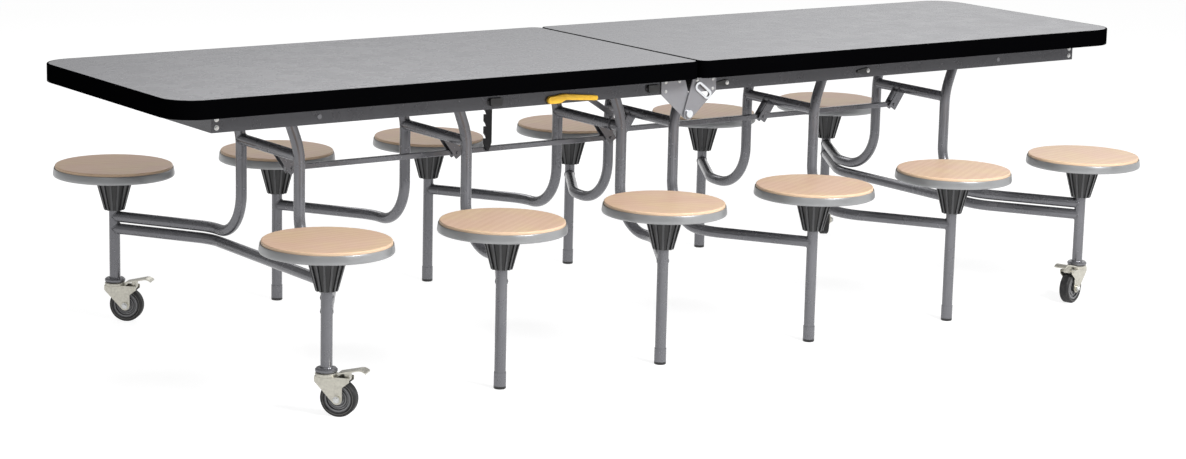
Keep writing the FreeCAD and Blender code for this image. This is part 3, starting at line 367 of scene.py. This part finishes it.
def moulding(name, column):
    """Black moulded plastic with dust, and a painted highlight along the crests of the hubs' ribs."""
    f = Finish(name, MOULDING_BLACK, 0.34, specular=0.6)
    axes = f.axes()
    across = f.math("POWER", f.math("SUBTRACT", axes[0], column.x), 2.0)
    deep = f.math("POWER", f.math("SUBTRACT", f.math("ABSOLUTE", axes[1]), abs(column.y)), 2.0)
    radius = f.math("SQRT", f.math("ADD", across, deep))
    rise = f.math("SUBTRACT", axes[2], HUB_FOOT)
    root = f.math("MULTIPLY_ADD", rise, HUB_TAPER)
    f.feed(root.node.inputs[2], HUB_ROOT)
    # The ribs' crests, where the painted highlight goes.
    crest = f.math("GREATER_THAN", f.math("SUBTRACT", radius, root), CREST_HIGHLIGHT_FROM)
    from_middle = f.math("ABSOLUTE", f.math("SUBTRACT", rise, HUB_CONE / 2))
    on_cone = f.math("LESS_THAN", from_middle, HUB_CONE / 2)
    # Painted highlight: the crests on the cone get the lighter grey.
    painted_crest_highlight = f.math("MULTIPLY", f.math("MULTIPLY", crest, on_cone), 0.8)
    dust = f.ramp(f.noise(40.0, detail=5.0), (0.5, 0.0), (0.8, 0.22))
    plain = f.mix(dust, MOULDING_BLACK, MOULDING_DUST)
    f.colour(f.mix(painted_crest_highlight, plain, RIB_CREST_HIGHLIGHT))
    f.roughness(f.ramp(f.noise(70.0), (0.3, 0.28), (0.7, 0.42)))
    f.bump(f.noise(900.0, detail=2.0), 0.00005, 0.4)
    return f.material


def plywood(name, low, high, turn, shade):
    """Lacquered birch: long grain on the faces and the plies on the rim."""
    f = Finish(name, BIRCH, 0.38, specular=0.22, coat=0.06)
    local = f.placed(turn=(0, 0, turn))
    drift = f.noise(1.6, detail=2.0, source=f.placed(stretch=(1.2, 7, 7), source=local))
    rings = f.node("ShaderNodeTexWave", wave_type="BANDS", bands_direction="Y")
    f.feed(rings.inputs["Vector"], f.placed(stretch=(1.1, 11, 11), source=local))
    rings.inputs["Scale"].default_value = 1.3
    rings.inputs["Distortion"].default_value = 9.0
    rings.inputs["Detail"].default_value = 3.0
    rings.inputs["Detail Scale"].default_value = 0.7
    fibres = f.noise(1.0, detail=4.0, rough=0.65, source=f.placed(stretch=(38, 900, 900), source=local))
    figure = f.math("MULTIPLY_ADD", rings.outputs["Fac"], 0.30)
    f.feed(figure.node.inputs[2], f.math("MULTIPLY", drift, 0.45))
    pale = shaded(BIRCH, shade)
    dark = shaded(BIRCH_DARK, shade)
    honey = f.noise(9.0, detail=3.0, source=f.placed(shift=(shade, turn, 0)))
    patches = f.ramp(honey, (0.42, 0.0), (0.62, 0.6))
    face = f.mix(patches, pale, shaded(BIRCH_HONEY, shade))
    face = f.mix(f.ramp(figure, (0.15, 0.0), (0.75, 0.55)), face, dark)
    face = f.mix(f.ramp(fibres, (0.50, 0.0), (0.72, 0.38)), face, dark)
    height = f.axes()[2]
    plies = f.math("SINE", f.math("MULTIPLY", height, 2 * math.pi / PLY_PAIR))
    rim = f.mix(f.ramp(plies, (0.30, 0.0), (0.75, 0.6)), PLY_EDGE, PLY_DARK)
    top = f.math("GREATER_THAN", height, high - FACE_VENEER)
    under = f.math("LESS_THAN", height, low + FACE_VENEER / 2)
    f.colour(f.mix(f.math("MAXIMUM", top, under), rim, face))
    f.roughness(f.ramp(fibres, (0.3, 0.32), (0.75, 0.44)))
    f.bump(fibres, 0.00008, 0.35)
    return f.material


def zinc(name="zinc plate", colour=ZINC):
    """Passivated zinc on pressed steel and on fastenings."""
    f = Finish(name, colour, 0.34, metallic=0.75)
    spangle = f.noise(160.0, detail=3.0)
    dull = shaded(colour, 0.86)
    bright = shaded(colour, 1.12)
    f.colour(f.ramp(spangle, (0.3, dull), (0.5, colour), (0.72, bright)))
    f.roughness(f.ramp(f.noise(260.0), (0.3, 0.28), (0.7, 0.42)))
    f.bump(spangle, 0.00006, 0.4)
    return f.material


def wheel_rubber(name, axle, direction):
    """Tyre outside, grey core inside, told apart by the distance from the axle; painted rings of light and
    shade.
    """
    f = Finish(name, TYRE_BLACK, 0.55, specular=0.35)
    tilt = math.atan2(-direction.x, direction.y)
    centred = f.placed(shift=tuple(-axle))
    axes = f.axes(f.placed(turn=(0, 0, -tilt), source=centred))
    across = f.math("POWER", axes[0], 2.0)
    along = f.math("POWER", axes[2], 2.0)
    radius = f.math("SQRT", f.math("ADD", across, along))
    tyre = f.math("GREATER_THAN", radius, TYRE_SEAT)
    # Concentric rings: painted shade on the core and painted highlights on the tyre's side wall.
    rings = f.math("SINE", f.math("MULTIPLY", radius, 2 * math.pi / CORE_RING))
    dust = f.ramp(f.noise(90.0, detail=5.0), (0.45, 0.0), (0.8, 0.35))
    ring_light_and_shade = f.ramp(rings, (0.3, 0.0), (0.8, 1.0))
    side_wall_highlight = f.math("MULTIPLY", ring_light_and_shade, f.math("LESS_THAN", radius, TYRE_WALL))
    rubber = f.mix(dust, f.mix(side_wall_highlight, TYRE_BLACK, TYRE_RING_HIGHLIGHT), TYRE_DUST)
    core = f.mix(ring_light_and_shade, CORE_GREY, CORE_GROOVE_SHADE)
    f.colour(f.mix(tyre, core, rubber))
    f.roughness(f.blend(tyre, 0.45, f.ramp(f.noise(60.0), (0.3, 0.5), (0.7, 0.72))))
    f.bump(f.noise(700.0), 0.00012, 0.5)
    return f.material


def lever_finish():
    """Dipped yellow grip outside the rail, grey enamel on the shaft and arm inside."""
    f = Finish("grip yellow", GRIP_YELLOW, 0.36, specular=0.5)
    outside = f.math("LESS_THAN", f.axes()[1], -RAIL_FACE - PLATE_GAP)
    smudge = f.ramp(f.noise(60.0, detail=5.0), (0.5, 0.0), (0.8, 0.5))
    vinyl = f.mix(smudge, GRIP_YELLOW, GRIP_SMUDGE)
    f.colour(f.mix(outside, ENAMEL_GREY, vinyl))
    f.metallic(f.blend(outside, 0.55, 0.0))
    f.roughness(f.ramp(f.noise(90.0), (0.3, 0.30), (0.7, 0.46)))
    f.bump(f.noise(500.0), 0.0001, 0.4)
    return f.material


def paint(node, material):
    """Gives a whole CAD node one material."""
    slots = NODES[node].material_slots
    if not slots:
        NODES[node].data.materials.append(material)
    for slot in slots:
        slot.material = material


FINISH_SEED = 12
GRAIN_TURNS = (-35, 35)
BOARD_SHADES = (0.97, 1.03)
FACE_MARGIN = 0.0003


def finish_cad_nodes():
    """Paints every CAD node but the seat pans, and returns the leg frames' enamel."""
    top = laminate()
    rim = edge_moulding()
    steel = enamel("enamel grey", ENAMEL_GREY).material
    # The rails get the darker enamel, painted shade from the top's overhang.
    rail_steel_shaded = enamel("enamel rail shaded", RAIL_SHADE_GREY).material
    plated = zinc()
    plate_face = RAIL_FACE + 2 * HINGE_PLATE + PLATE_GAP + FACE_MARGIN
    for side in SIDES:
        paint(f"table_board_{side}", top)
        paint(f"table_edge_{side}", rim)
        paint(f"underframe_{side}", rail_steel_shaded)
        paint(f"link_bar_{side}", steel)
        paint(f"hinge_plates_{side}", hinge_enamel(f"hinge {side}", plate_face))
    paint("safety_stay", enamel("enamel black", STAY_BLACK, 0.42).material)
    paint("release_lever", lever_finish())
    random.seed(FINISH_SEED)
    for number in FRAMES:
        paint(f"leg_frame_{number}", steel)
        paint(f"frame_{number}_hubs_and_caps", moulding(f"moulding {number}", column_of("front", number)))
        for row in ROWS:
            board = f"seat_board_{row}_{number}"
            low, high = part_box(board)
            turn = math.radians(random.uniform(*GRAIN_TURNS))
            shade = random.uniform(*BOARD_SHADES)
            paint(board, plywood(f"birch {row} {number}", low.z, high.z, turn, shade))
    for row in ROWS:
        for side in SIDES:
            corner = f"{row}_{side}"
            roll = f"wheel_{corner}_roll"
            paint(f"caster_fork_{corner}", plated)
            paint(f"brake_pedal_{corner}", plated)
            paint(f"caster_wheel_{corner}", wheel_rubber(f"wheel {corner}", place_of(roll), axis_of(roll)))
    return steel


# ------------------------------------------------------------------ grown pieces


class Graph:
    """A Geometry Nodes tree with named inputs, built a node at a time."""

    def __init__(self, name, **inputs):
        self.tree = bpy.data.node_groups.new(name, "GeometryNodeTree")
        self.tree.is_modifier = True
        sockets = {"Geometry": "Geometry", "Material": "Material"}
        sockets.update({label.replace("_", " "): kind for label, kind in inputs.items()})
        for label, kind in sockets.items():
            self.tree.interface.new_socket(label, in_out="INPUT", socket_type="NodeSocket" + kind)
        self.tree.interface.new_socket("Geometry", in_out="OUTPUT", socket_type="NodeSocketGeometry")
        self.given = self.tree.nodes.new("NodeGroupInput").outputs

    def node(self, kind, inputs=(), **settings):
        new = self.tree.nodes.new(kind)
        for key, value in settings.items():
            setattr(new, key, value)
        for label, value in dict(inputs).items():
            self.feed(new.inputs[label], value)
        return new

    def feed(self, socket, value):
        if isinstance(value, bpy.types.NodeSocket):
            self.tree.links.new(value, socket)
        else:
            socket.default_value = value

    def math(self, operation, *values):
        new = self.node("ShaderNodeMath", operation=operation)
        for socket, value in zip(new.inputs, values):
            self.feed(socket, value)
        return new.outputs[0]

    def finished(self, geometry):
        """Ends the tree with plain geometry in the tree's material."""
        plain = self.node("GeometryNodeRealizeInstances", {"Geometry": geometry})
        painted = self.node(
            "GeometryNodeSetMaterial", {"Geometry": plain.outputs[0], "Material": self.given["Material"]})
        result = self.tree.nodes.new("NodeGroupOutput")
        self.tree.links.new(painted.outputs[0], result.inputs["Geometry"])
        return self.tree


# Each profile runs from the washer up, as (share of the height, share of the radius).
DOME = ((0.0, 1.0), (0.35, 0.97), (0.65, 0.84), (0.88, 0.60), (1.0, 0.28))
HEXAGON = ((0.0, 1.0), (0.82, 1.0), (1.0, 0.86))
DOME_SIDES = 20
HEXAGON_SIDES = 6
WASHER_SIDES = 28


def head_tree(name, sides, profile):
    """A fastening's head on its washer, set on every point and turned to face its way."""
    g = Graph(name, Head_radius="Float", Head_height="Float", Washer_radius="Float",
              Washer_height="Float", Seed="Int")
    height = g.given["Head height"]
    washer = g.node("GeometryNodeMeshCone", {
        "Vertices": WASHER_SIDES,
        "Radius Top": g.given["Washer radius"],
        "Radius Bottom": g.given["Washer radius"],
        "Depth": g.given["Washer height"]})
    joined = g.node("GeometryNodeJoinGeometry")
    g.tree.links.new(washer.outputs["Mesh"], joined.inputs[0])
    for (low, wide), (high, narrow) in zip(profile, profile[1:]):
        ring = g.node("GeometryNodeMeshCone", {
            "Vertices": sides,
            "Radius Bottom": g.math("MULTIPLY", g.given["Head radius"], wide),
            "Radius Top": g.math("MULTIPLY", g.given["Head radius"], narrow),
            "Depth": g.math("MULTIPLY", height, high - low)})
        lift = g.node("ShaderNodeCombineXYZ", {
            "Z": g.math("MULTIPLY_ADD", height, low, g.given["Washer height"])})
        raised = g.node("GeometryNodeTransform", {
            "Geometry": ring.outputs["Mesh"], "Translation": lift.outputs[0]})
        g.tree.links.new(raised.outputs[0], joined.inputs[0])
    facing = g.node("GeometryNodeInputNamedAttribute", {"Name": "facing"}, data_type="FLOAT_VECTOR")
    upright = g.node("FunctionNodeAlignRotationToVector", {"Vector": facing.outputs[0]}, axis="Z")
    angle = g.node("FunctionNodeRandomValue", {"Seed": g.given["Seed"]}, data_type="FLOAT")
    g.feed(angle.inputs[3], 2 * math.pi)
    spin = g.node("FunctionNodeAxisAngleToRotation", {"Axis": UP, "Angle": angle.outputs[1]})
    spun = g.node("FunctionNodeRotateRotation", {
        "Rotation": upright.outputs[0], "Rotate By": spin.outputs[0]}, rotation_space="LOCAL")
    heads = g.node("GeometryNodeInstanceOnPoints", {
        "Points": g.given["Geometry"], "Instance": joined.outputs[0], "Rotation": spun.outputs[0]})
    return g.finished(heads.outputs[0])


BEAD_SIDES = 7
POINTS_PER_RIPPLE = 4.0


def bead_tree():
    """A rippled weld bead along every loop of edges."""
    g = Graph("weld bead", Bead_radius="Float", Ripple_pitch="Float", Ripple_depth="Float")
    loops = g.node("GeometryNodeMeshToCurve", {"Mesh": g.given["Geometry"]})
    even = g.node("GeometryNodeResampleCurve", {
        "Curve": loops.outputs[0],
        "Length": g.math("DIVIDE", g.given["Ripple pitch"], POINTS_PER_RIPPLE)}, mode="LENGTH")
    run = g.node("GeometryNodeSplineParameter").outputs["Length"]
    phase = g.math("MULTIPLY", g.math("DIVIDE", run, g.given["Ripple pitch"]), 2 * math.pi)
    ripple = g.math("MULTIPLY", g.math("SINE", phase), g.given["Ripple depth"])
    drift = g.node("ShaderNodeTexNoise", {"Scale": 140.0, "Detail": 1.0}).outputs[0]
    swell = g.math("MULTIPLY_ADD", drift, 0.5, 0.75)
    size = g.math("MULTIPLY", g.given["Bead radius"], g.math("ADD", swell, ripple))
    section = g.node("GeometryNodeCurvePrimitiveCircle", {"Resolution": BEAD_SIDES, "Radius": 1.0})
    bead = g.node("GeometryNodeCurveToMesh", {
        "Curve": even.outputs[0], "Profile Curve": section.outputs["Curve"], "Scale": size})
    return g.finished(bead.outputs[0])


SMOOTH_BELOW = math.radians(38)


def smooth_between_edges(mesh):
    """Outward faces, shaded smooth except across the sharp edges."""
    shape = bmesh.new()
    shape.from_mesh(mesh)
    bmesh.ops.recalc_face_normals(shape, faces=shape.faces)
    for face in shape.faces:
        face.smooth = True
    for edge in shape.edges:
        edge.smooth = len(edge.link_faces) == 2 and edge.calc_face_angle() < SMOOTH_BELOW
    shape.to_mesh(mesh)
    shape.free()


def grow(name, source_mesh, tree, body, slot, **inputs):
    """Runs a tree on a mesh and puts the plain result on a body."""
    source = added(name + "_source", source_mesh)
    modifier = source.modifiers.new(tree.name, "NODES")
    modifier.node_group = tree
    sockets = {item.name: item.identifier for item in tree.interface.items_tree if item.in_out == "INPUT"}
    for label, value in inputs.items():
        modifier[sockets[label.replace("_", " ")]] = value
    evaluated = source.evaluated_get(bpy.context.evaluated_depsgraph_get())
    mesh = bpy.data.meshes.new_from_object(evaluated)
    source.modifiers.remove(modifier)
    bpy.data.objects.remove(source)
    smooth_between_edges(mesh)
    piece = added(name, mesh)
    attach(piece, body)


def facing_points(stations):
    """A mesh of bare points from (place, facing) pairs."""
    mesh = bpy.data.meshes.new("stations")
    mesh.from_pydata([place for place, _ in stations], [], [])
    facing = mesh.attributes.new("facing", "FLOAT_VECTOR", "POINT")
    for entry, (_, way) in zip(facing.data, stations):
        entry.vector = way
    return mesh


# ------------------------------------------------------------------ seat dishes

# Each outline is (radius, depth below the seat's top), from the axis outwards and back to it.
DISH_OUTLINE = (
    (0.0, 0.0320), (0.1000, 0.0320), (0.1035, 0.0310), (0.1075, 0.0310), (0.1110, 0.0320),
    (0.1182, 0.0320), (0.1396, 0.0292), (0.1500, 0.0279), (0.1548, 0.0270), (0.1564, 0.0260),
    (0.1570, 0.0242), (0.1566, 0.0200), (0.1557, 0.0140), (0.1549, 0.0088), (0.1548, 0.0078),
    (0.1552, 0.0071), (0.1558, 0.0070), (0.1564, 0.0074), (0.1568, 0.0084), (0.1577, 0.0140),
    (0.1586, 0.0200), (0.1590, 0.0242), (0.1587, 0.0262), (0.1578, 0.0278), (0.1560, 0.0288),
    (0.1500, 0.0299), (0.1400, 0.0312), (0.1250, 0.0331), (0.1180, 0.0340), (0.1115, 0.0340),
    (0.1080, 0.0329), (0.1030, 0.0329), (0.0995, 0.0340), (0.0, 0.0340))
BOSS_OUTLINE = (
    (0.0, 0.0190), (0.0108, 0.0190), (0.0116, 0.0196), (0.0120, 0.0210), (0.0124, 0.0322),
    (0.0, 0.0322))
SPINDLE_OUTLINE = ((0.0, 0.0330), (0.0110, 0.0330), (0.0110, 0.1025), (0.0095, 0.1040), (0.0, 0.1040))
DISH_STEPS = 120
BOSS_STEPS = 24
BOSSES = 4


def turned(shape, outline, centre, steps):
    """Adds a turned form to a bmesh; its outline starts and ends on the axis."""
    rings = []
    for radius, depth in outline:
        count = steps if radius else 1
        turns = [2 * math.pi * index / count for index in range(count)]
        rings.append([
            shape.verts.new(centre + Vector((radius * math.cos(turn), radius * math.sin(turn), -depth)))
            for turn in turns])
    for first, second in zip(rings, rings[1:]):
        for index in range(steps):
            after = index + 1
            corners = (first[index % len(first)], first[after % len(first)],
                       second[after % len(second)], second[index % len(second)])
            shape.faces.new(tuple(dict.fromkeys(corners)))


def boss_ring(row, number):
    """The places of a seat's bosses, at the height of its board's upper face."""
    centre = column_of(row, number)
    for index in range(BOSSES):
        angle = 2 * math.pi * (index + 0.5) / BOSSES
        yield Vector((centre.x, centre.y, SEAT_TOP)) + PAN_SCREW_CIRCLE * Vector(
            (math.cos(angle), math.sin(angle), 0))


def add_dishes():
    """Pressed dishes whose rims flare below the boards, with their bosses and spindles."""
    dish = enamel("enamel dish", PAN_GREY, 0.34).material
    for row in ROWS:
        for number in FRAMES:
            centre = column_of(row, number)
            shape = bmesh.new()
            turned(shape, DISH_OUTLINE, Vector((centre.x, centre.y, SEAT_TOP)), DISH_STEPS)
            turned(shape, SPINDLE_OUTLINE, Vector((centre.x, centre.y, SEAT_TOP)), BOSS_STEPS)
            for place in boss_ring(row, number):
                turned(shape, BOSS_OUTLINE, place, BOSS_STEPS)
            name = f"seat_dish_{row}_{number}"
            mesh = bpy.data.meshes.new(name)
            shape.to_mesh(mesh)
            shape.free()
            smooth_between_edges(mesh)
            mesh.materials.append(dish)
            piece = added(name, mesh)
            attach(piece, f"seat_{row}_{number}")
            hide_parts(f"seat_pan_{row}_{number}")


# ------------------------------------------------------------------ fastenings

RAIL_SCREWS = 8
RAIL_SCREW_INSET = 0.017
RAIL_SCREW_MARGIN = 0.045
END_BOLT_INSET = 0.014
END_BOLT_RISE = 0.010
# Rivets of a hinge plate, as (distance from the seam, depth below the board).
INNER_PLATE_RIVETS = ((0.030, 0.012), (0.074, 0.012), (0.074, 0.036))
OUTER_PLATE_RIVETS = ((0.025, 0.012), (0.077, 0.012), (0.077, 0.037))
# Sizes of the fastenings, as (head radius, head height, washer radius).
RAIL_SCREW = (0.0042, 0.0021, 0.0058)
END_BOLT = (0.0044, 0.0026, 0.0062)
HINGE_RIVET = (0.0040, 0.0018, 0.0046)
KEEPER_BOLT = (0.0045, 0.0024, 0.0058)
PAN_SCREW = (0.0045, 0.0023, 0.0065)
AXLE_NUT = (0.0065, 0.0048, 0.0080)
WASHER_HEIGHT = 0.0006


def rail_screws(side):
    """Screws up through both rails' top flanges into the board."""
    low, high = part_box(f"underframe_{side}")
    start = low.x + RAIL_SCREW_MARGIN
    pitch = (high.x - low.x - 2 * RAIL_SCREW_MARGIN) / (RAIL_SCREWS - 1)
    across = RAIL_FACE - RAIL_SCREW_INSET
    return [
        (Vector((start + index * pitch, row * across, UNDERSIDE - SHEET)), -UP)
        for row in ROWS.values() for index in range(RAIL_SCREWS)]


def end_bolts(side):
    """Two bolts at each rail's end, into the end bar."""
    x = SIDES[side] * (RAIL_END - END_BOLT_INSET)
    middle = sum(corner.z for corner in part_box("underframe_right")) / 2
    return [
        (Vector((x, row * RAIL_FACE, middle + rise)), Vector((0, row, 0)))
        for row in ROWS.values() for rise in (-END_BOLT_RISE, END_BOLT_RISE)]


def hinge_rivets(side):
    """Rivets that hold the hinge plates to the rails."""
    inner = side == "left"
    stations = INNER_PLATE_RIVETS if inner else OUTER_PLATE_RIVETS
    face = RAIL_FACE + (HINGE_PLATE if inner else 2 * HINGE_PLATE + PLATE_GAP)
    return [
        (Vector((SIDES[side] * x, row * face, UNDERSIDE - depth)), Vector((0, row, 0)))
        for row in ROWS.values() for x, depth in stations]


def keeper_bolt(number):
    """The bolt through a keeper into the end of a pivot pin."""
    way = -outward(number)
    pivot = pivot_of(number)
    return [(Vector((pivot.x, way * (RAIL_FACE + KEEPER), pivot.z)), Vector((0, way, 0)))]


def pan_screws(row, number):
    """Four screws up through a seat's dish and bosses into its board."""
    return [(place - PAN_DEPTH * UP, -UP) for place in boss_ring(row, number)]


def axle_nuts(corner):
    roll = f"wheel_{corner}_roll"
    axis = axis_of(roll)
    return [(place_of(roll) + way * AXLE_END * axis, way * axis) for way in (-1, 1)]


def add_fastenings(bright):
    """All the fastenings in bright zinc, each kind as one piece on each body."""
    dome = head_tree("domed head", DOME_SIDES, DOME)
    hexagon = head_tree("hexagon head", HEXAGON_SIDES, HEXAGON)

    def fit(name, stations, tree, body, size, seed):
        radius, height, washer = size
        grow(name, facing_points(stations), tree, body, "zinc_plate", Material=bright,
             Head_radius=radius, Head_height=height, Washer_radius=washer,
             Washer_height=WASHER_HEIGHT, Seed=seed)

    for side in SIDES:
        body = f"top_{side}"
        fit(f"rail_screws_{side}", rail_screws(side), dome, body, RAIL_SCREW, seed=3)
        fit(f"end_bolts_{side}", end_bolts(side), dome, body, END_BOLT, seed=5)
        fit(f"hinge_rivets_{side}", hinge_rivets(side), dome, body, HINGE_RIVET, seed=7)
    for number in FRAMES:
        if number not in END_FRAMES:
            body = f"leg_frame_{number}"
            fit(f"keeper_bolt_{number}", keeper_bolt(number), dome, body, KEEPER_BOLT, seed=9)
        for row in ROWS:
            body = f"seat_{row}_{number}"
            fit(f"pan_screws_{row}_{number}", pan_screws(row, number), dome, body, PAN_SCREW, seed=number)
    for row in ROWS:
        for side in SIDES:
            corner = f"{row}_{side}"
            body = f"caster_{corner}"
            fit(f"axle_nuts_{corner}", axle_nuts(corner), hexagon, body, AXLE_NUT, seed=11)


# ------------------------------------------------------------------ welds

BEAD_RADIUS = 0.0018
BEAD_STEPS = 64
RIPPLE_PITCH = 0.0030
RIPPLE_DEPTH = 0.14


def seam(centre, axis, toward):
    """The seam of two tubes of the same size, one ending on the other's axis."""
    across = axis.cross(toward)
    points = []
    for index in range(BEAD_STEPS):
        turn = 2 * math.pi * index / BEAD_STEPS
        lift = TUBE_RADIUS * math.cos(turn)
        points.append(centre + axis * lift + toward * abs(lift) + across * TUBE_RADIUS * math.sin(turn))
    return points


def collar(centre):
    """A ring round an upright tube."""
    turns = [2 * math.pi * index / BEAD_STEPS for index in range(BEAD_STEPS)]
    return [centre + TUBE_RADIUS * Vector((math.cos(turn), math.sin(turn), 0)) for turn in turns]


def weld_loops(number):
    """The seams of one leg frame: arms on columns, cross tube on legs, columns on races."""
    loops = []
    pivot = pivot_of(number)
    on_casters = number in END_FRAMES
    heights = (END_ARM_HEIGHT, END_ARM_HEIGHT - LOWER_ARM_DROP) if on_casters else (ARM_HEIGHT,)
    for row, way in ROWS.items():
        column = column_of(row, number)
        leg_x = column.x - outward(number) * LEG_STEP
        arm = Vector((leg_x - column.x, way * ARM_Y - column.y, 0)).normalized()
        for height in heights:
            loops.append(seam(Vector((column.x, column.y, height)), UP, arm))
        cross = Vector((leg_x, way * LEG_Y, pivot.z - CROSS_TUBE_DROP))
        loops.append(seam(cross, UP, Vector((0, -way, 0))))
        if on_casters:
            loops.append(collar(Vector((column.x, column.y, RACE_TOP))))
    return loops


def add_welds(steel):
    """Beads laid on the surface of each leg frame, one mesh for each frame."""
    tree = bead_tree()
    depsgraph = bpy.context.evaluated_depsgraph_get()
    for number in FRAMES:
        surface = BVHTree.FromObject(NODES[f"leg_frame_{number}"], depsgraph)
        points = []
        edges = []
        for loop in weld_loops(number):
            first = len(points)
            points.extend(surface.find_nearest(point)[0] for point in loop)
            edges.extend((first + i, first + (i + 1) % BEAD_STEPS) for i in range(BEAD_STEPS))
        mesh = bpy.data.meshes.new("seams")
        mesh.from_pydata(points, edges, [])
        grow(f"welds_{number}", mesh, tree, f"leg_frame_{number}", "frame_enamel", Material=steel,
             Bead_radius=BEAD_RADIUS, Ripple_pitch=RIPPLE_PITCH, Ripple_depth=RIPPLE_DEPTH)


# ------------------------------------------------------------------ studio

FLOOR_SIZE = 40.0
FLOOR_GLOW = 0.86
FLOOR_VEIL = 0.30
WORLD_LEVEL = 0.36
ROOM_DIM = 0.40
ROOM_BRIGHT = 1.0
ROOM_DIM_BELOW = 0.50
ROOM_BRIGHT_ABOVE = 0.66
FLOOR_GREY = 0.80
FLOOR_ROUGHNESS = 0.9
# Each light is (name, place, where it points, size, power in watts).
LIGHTS = (
    ("key front", (0.5, -4.3, 3.3), (0.1, 0, 0.4), 1.8, 270),
    ("fill left", (-4.2, -3.8, 3.4), (-0.3, 0, 0.4), 2.6, 25),
    ("top back", (1.4, 3.6, 3.6), (0.3, 0, 0.6), 3.0, 60))


def add_light(name, place, target, size, power):
    data = bpy.data.lights.new(name, "AREA")
    data.shape = "DISK"
    data.size = size
    data.energy = power
    light = added(name, data)
    light.location = place
    light.rotation_mode = "QUATERNION"
    light.rotation_quaternion = (Vector(target) - Vector(place)).to_track_quat("-Z", "Y")


def seen_share(tree):
    """1 for what the camera, a reflection or glass sees directly, else 0."""
    path = tree.nodes.new("ShaderNodeLightPath")
    share = path.outputs["Is Camera Ray"]
    for ray in ("Is Glossy Ray", "Is Transmission Ray"):
        either = tree.nodes.new("ShaderNodeMath")
        either.operation = "MAXIMUM"
        tree.links.new(share, either.inputs[0])
        tree.links.new(path.outputs[ray], either.inputs[1])
        share = either.outputs[0]
    return share


def choose(tree, share, unseen, seen, output):
    """Feeds an output from one shader where the share is 0 and from another where it is 1."""
    mixed = tree.nodes.new("ShaderNodeMixShader")
    tree.links.new(share, mixed.inputs[0])
    tree.links.new(unseen, mixed.inputs[1])
    tree.links.new(seen, mixed.inputs[2])
    tree.links.new(mixed.outputs[0], output)


def backdrop_level(tree):
    """White to the camera; in reflections the room fades from its bright side to its dim one."""
    toward = tree.nodes.new("ShaderNodeTexCoord")
    axes = tree.nodes.new("ShaderNodeSeparateXYZ")
    tree.links.new(toward.outputs["Generated"], axes.inputs[0])
    fade = tree.nodes.new("ShaderNodeMapRange")
    fade.interpolation_type = "SMOOTHSTEP"
    tree.links.new(axes.outputs["X"], fade.inputs["Value"])
    fade.inputs["From Min"].default_value = ROOM_DIM_BELOW
    fade.inputs["From Max"].default_value = ROOM_BRIGHT_ABOVE
    fade.inputs["To Min"].default_value = ROOM_DIM
    fade.inputs["To Max"].default_value = ROOM_BRIGHT
    camera = tree.nodes.new("ShaderNodeLightPath").outputs["Is Camera Ray"]
    level = tree.nodes.new("ShaderNodeMix")
    tree.links.new(camera, level.inputs["Factor"])
    tree.links.new(fade.outputs["Result"], level.inputs[MIX_VALUES[0]])
    level.inputs[MIX_VALUES[1]].default_value = 1.0
    return level.outputs[MIX_VALUE_OUT]


def add_world():
    world = bpy.data.worlds.new("studio")
    bpy.context.scene.world = world
    world.use_nodes = True
    tree = world.node_tree
    dim = tree.nodes["Background"]
    dim.inputs["Color"].default_value = (1, 1, 1, 1)
    dim.inputs["Strength"].default_value = WORLD_LEVEL
    white = tree.nodes.new("ShaderNodeBackground")
    white.inputs["Color"].default_value = (1, 1, 1, 1)
    tree.links.new(backdrop_level(tree), white.inputs["Strength"])
    choose(tree, seen_share(tree), dim.outputs[0], white.outputs[0],
           tree.nodes["World Output"].inputs["Surface"])


def floor_material():
    """Pale floor that is seen as white, but for the shadow that lies on it."""
    material = bpy.data.materials.new("floor pale")
    material.use_nodes = True
    tree = material.node_tree
    plain = tree.nodes["Principled BSDF"]
    plain.inputs["Base Color"].default_value = (FLOOR_GREY, FLOOR_GREY, FLOOR_GREY, 1)
    plain.inputs["Roughness"].default_value = FLOOR_ROUGHNESS
    glow = tree.nodes.new("ShaderNodeEmission")
    glow.inputs["Strength"].default_value = FLOOR_GLOW
    veil = tree.nodes.new("ShaderNodeBsdfDiffuse")
    veil.inputs["Color"].default_value = (FLOOR_VEIL, FLOOR_VEIL, FLOOR_VEIL, 1)
    seen = tree.nodes.new("ShaderNodeAddShader")
    tree.links.new(glow.outputs[0], seen.inputs[0])
    tree.links.new(veil.outputs[0], seen.inputs[1])
    choose(tree, seen_share(tree), plain.outputs[0], seen.outputs[0],
           tree.nodes["Material Output"].inputs["Surface"])
    return material


def add_floor():
    half = FLOOR_SIZE / 2
    corners = [(-half, -half, 0), (half, -half, 0), (half, half, 0), (-half, half, 0)]
    mesh = bpy.data.meshes.new("floor")
    mesh.from_pydata(corners, [], [(0, 1, 2, 3)])
    mesh.materials.append(floor_material())
    floor = added("floor", mesh)


def add_studio():
    bpy.context.scene.view_settings.view_transform = "Standard"
    add_world()
    add_floor()
    for light in LIGHTS:
        add_light(*light)


add_camera()
steel_enamel = finish_cad_nodes()
add_dishes()
add_fastenings(zinc("zinc bright", ZINC_BRIGHT))
add_welds(steel_enamel)
add_studio()
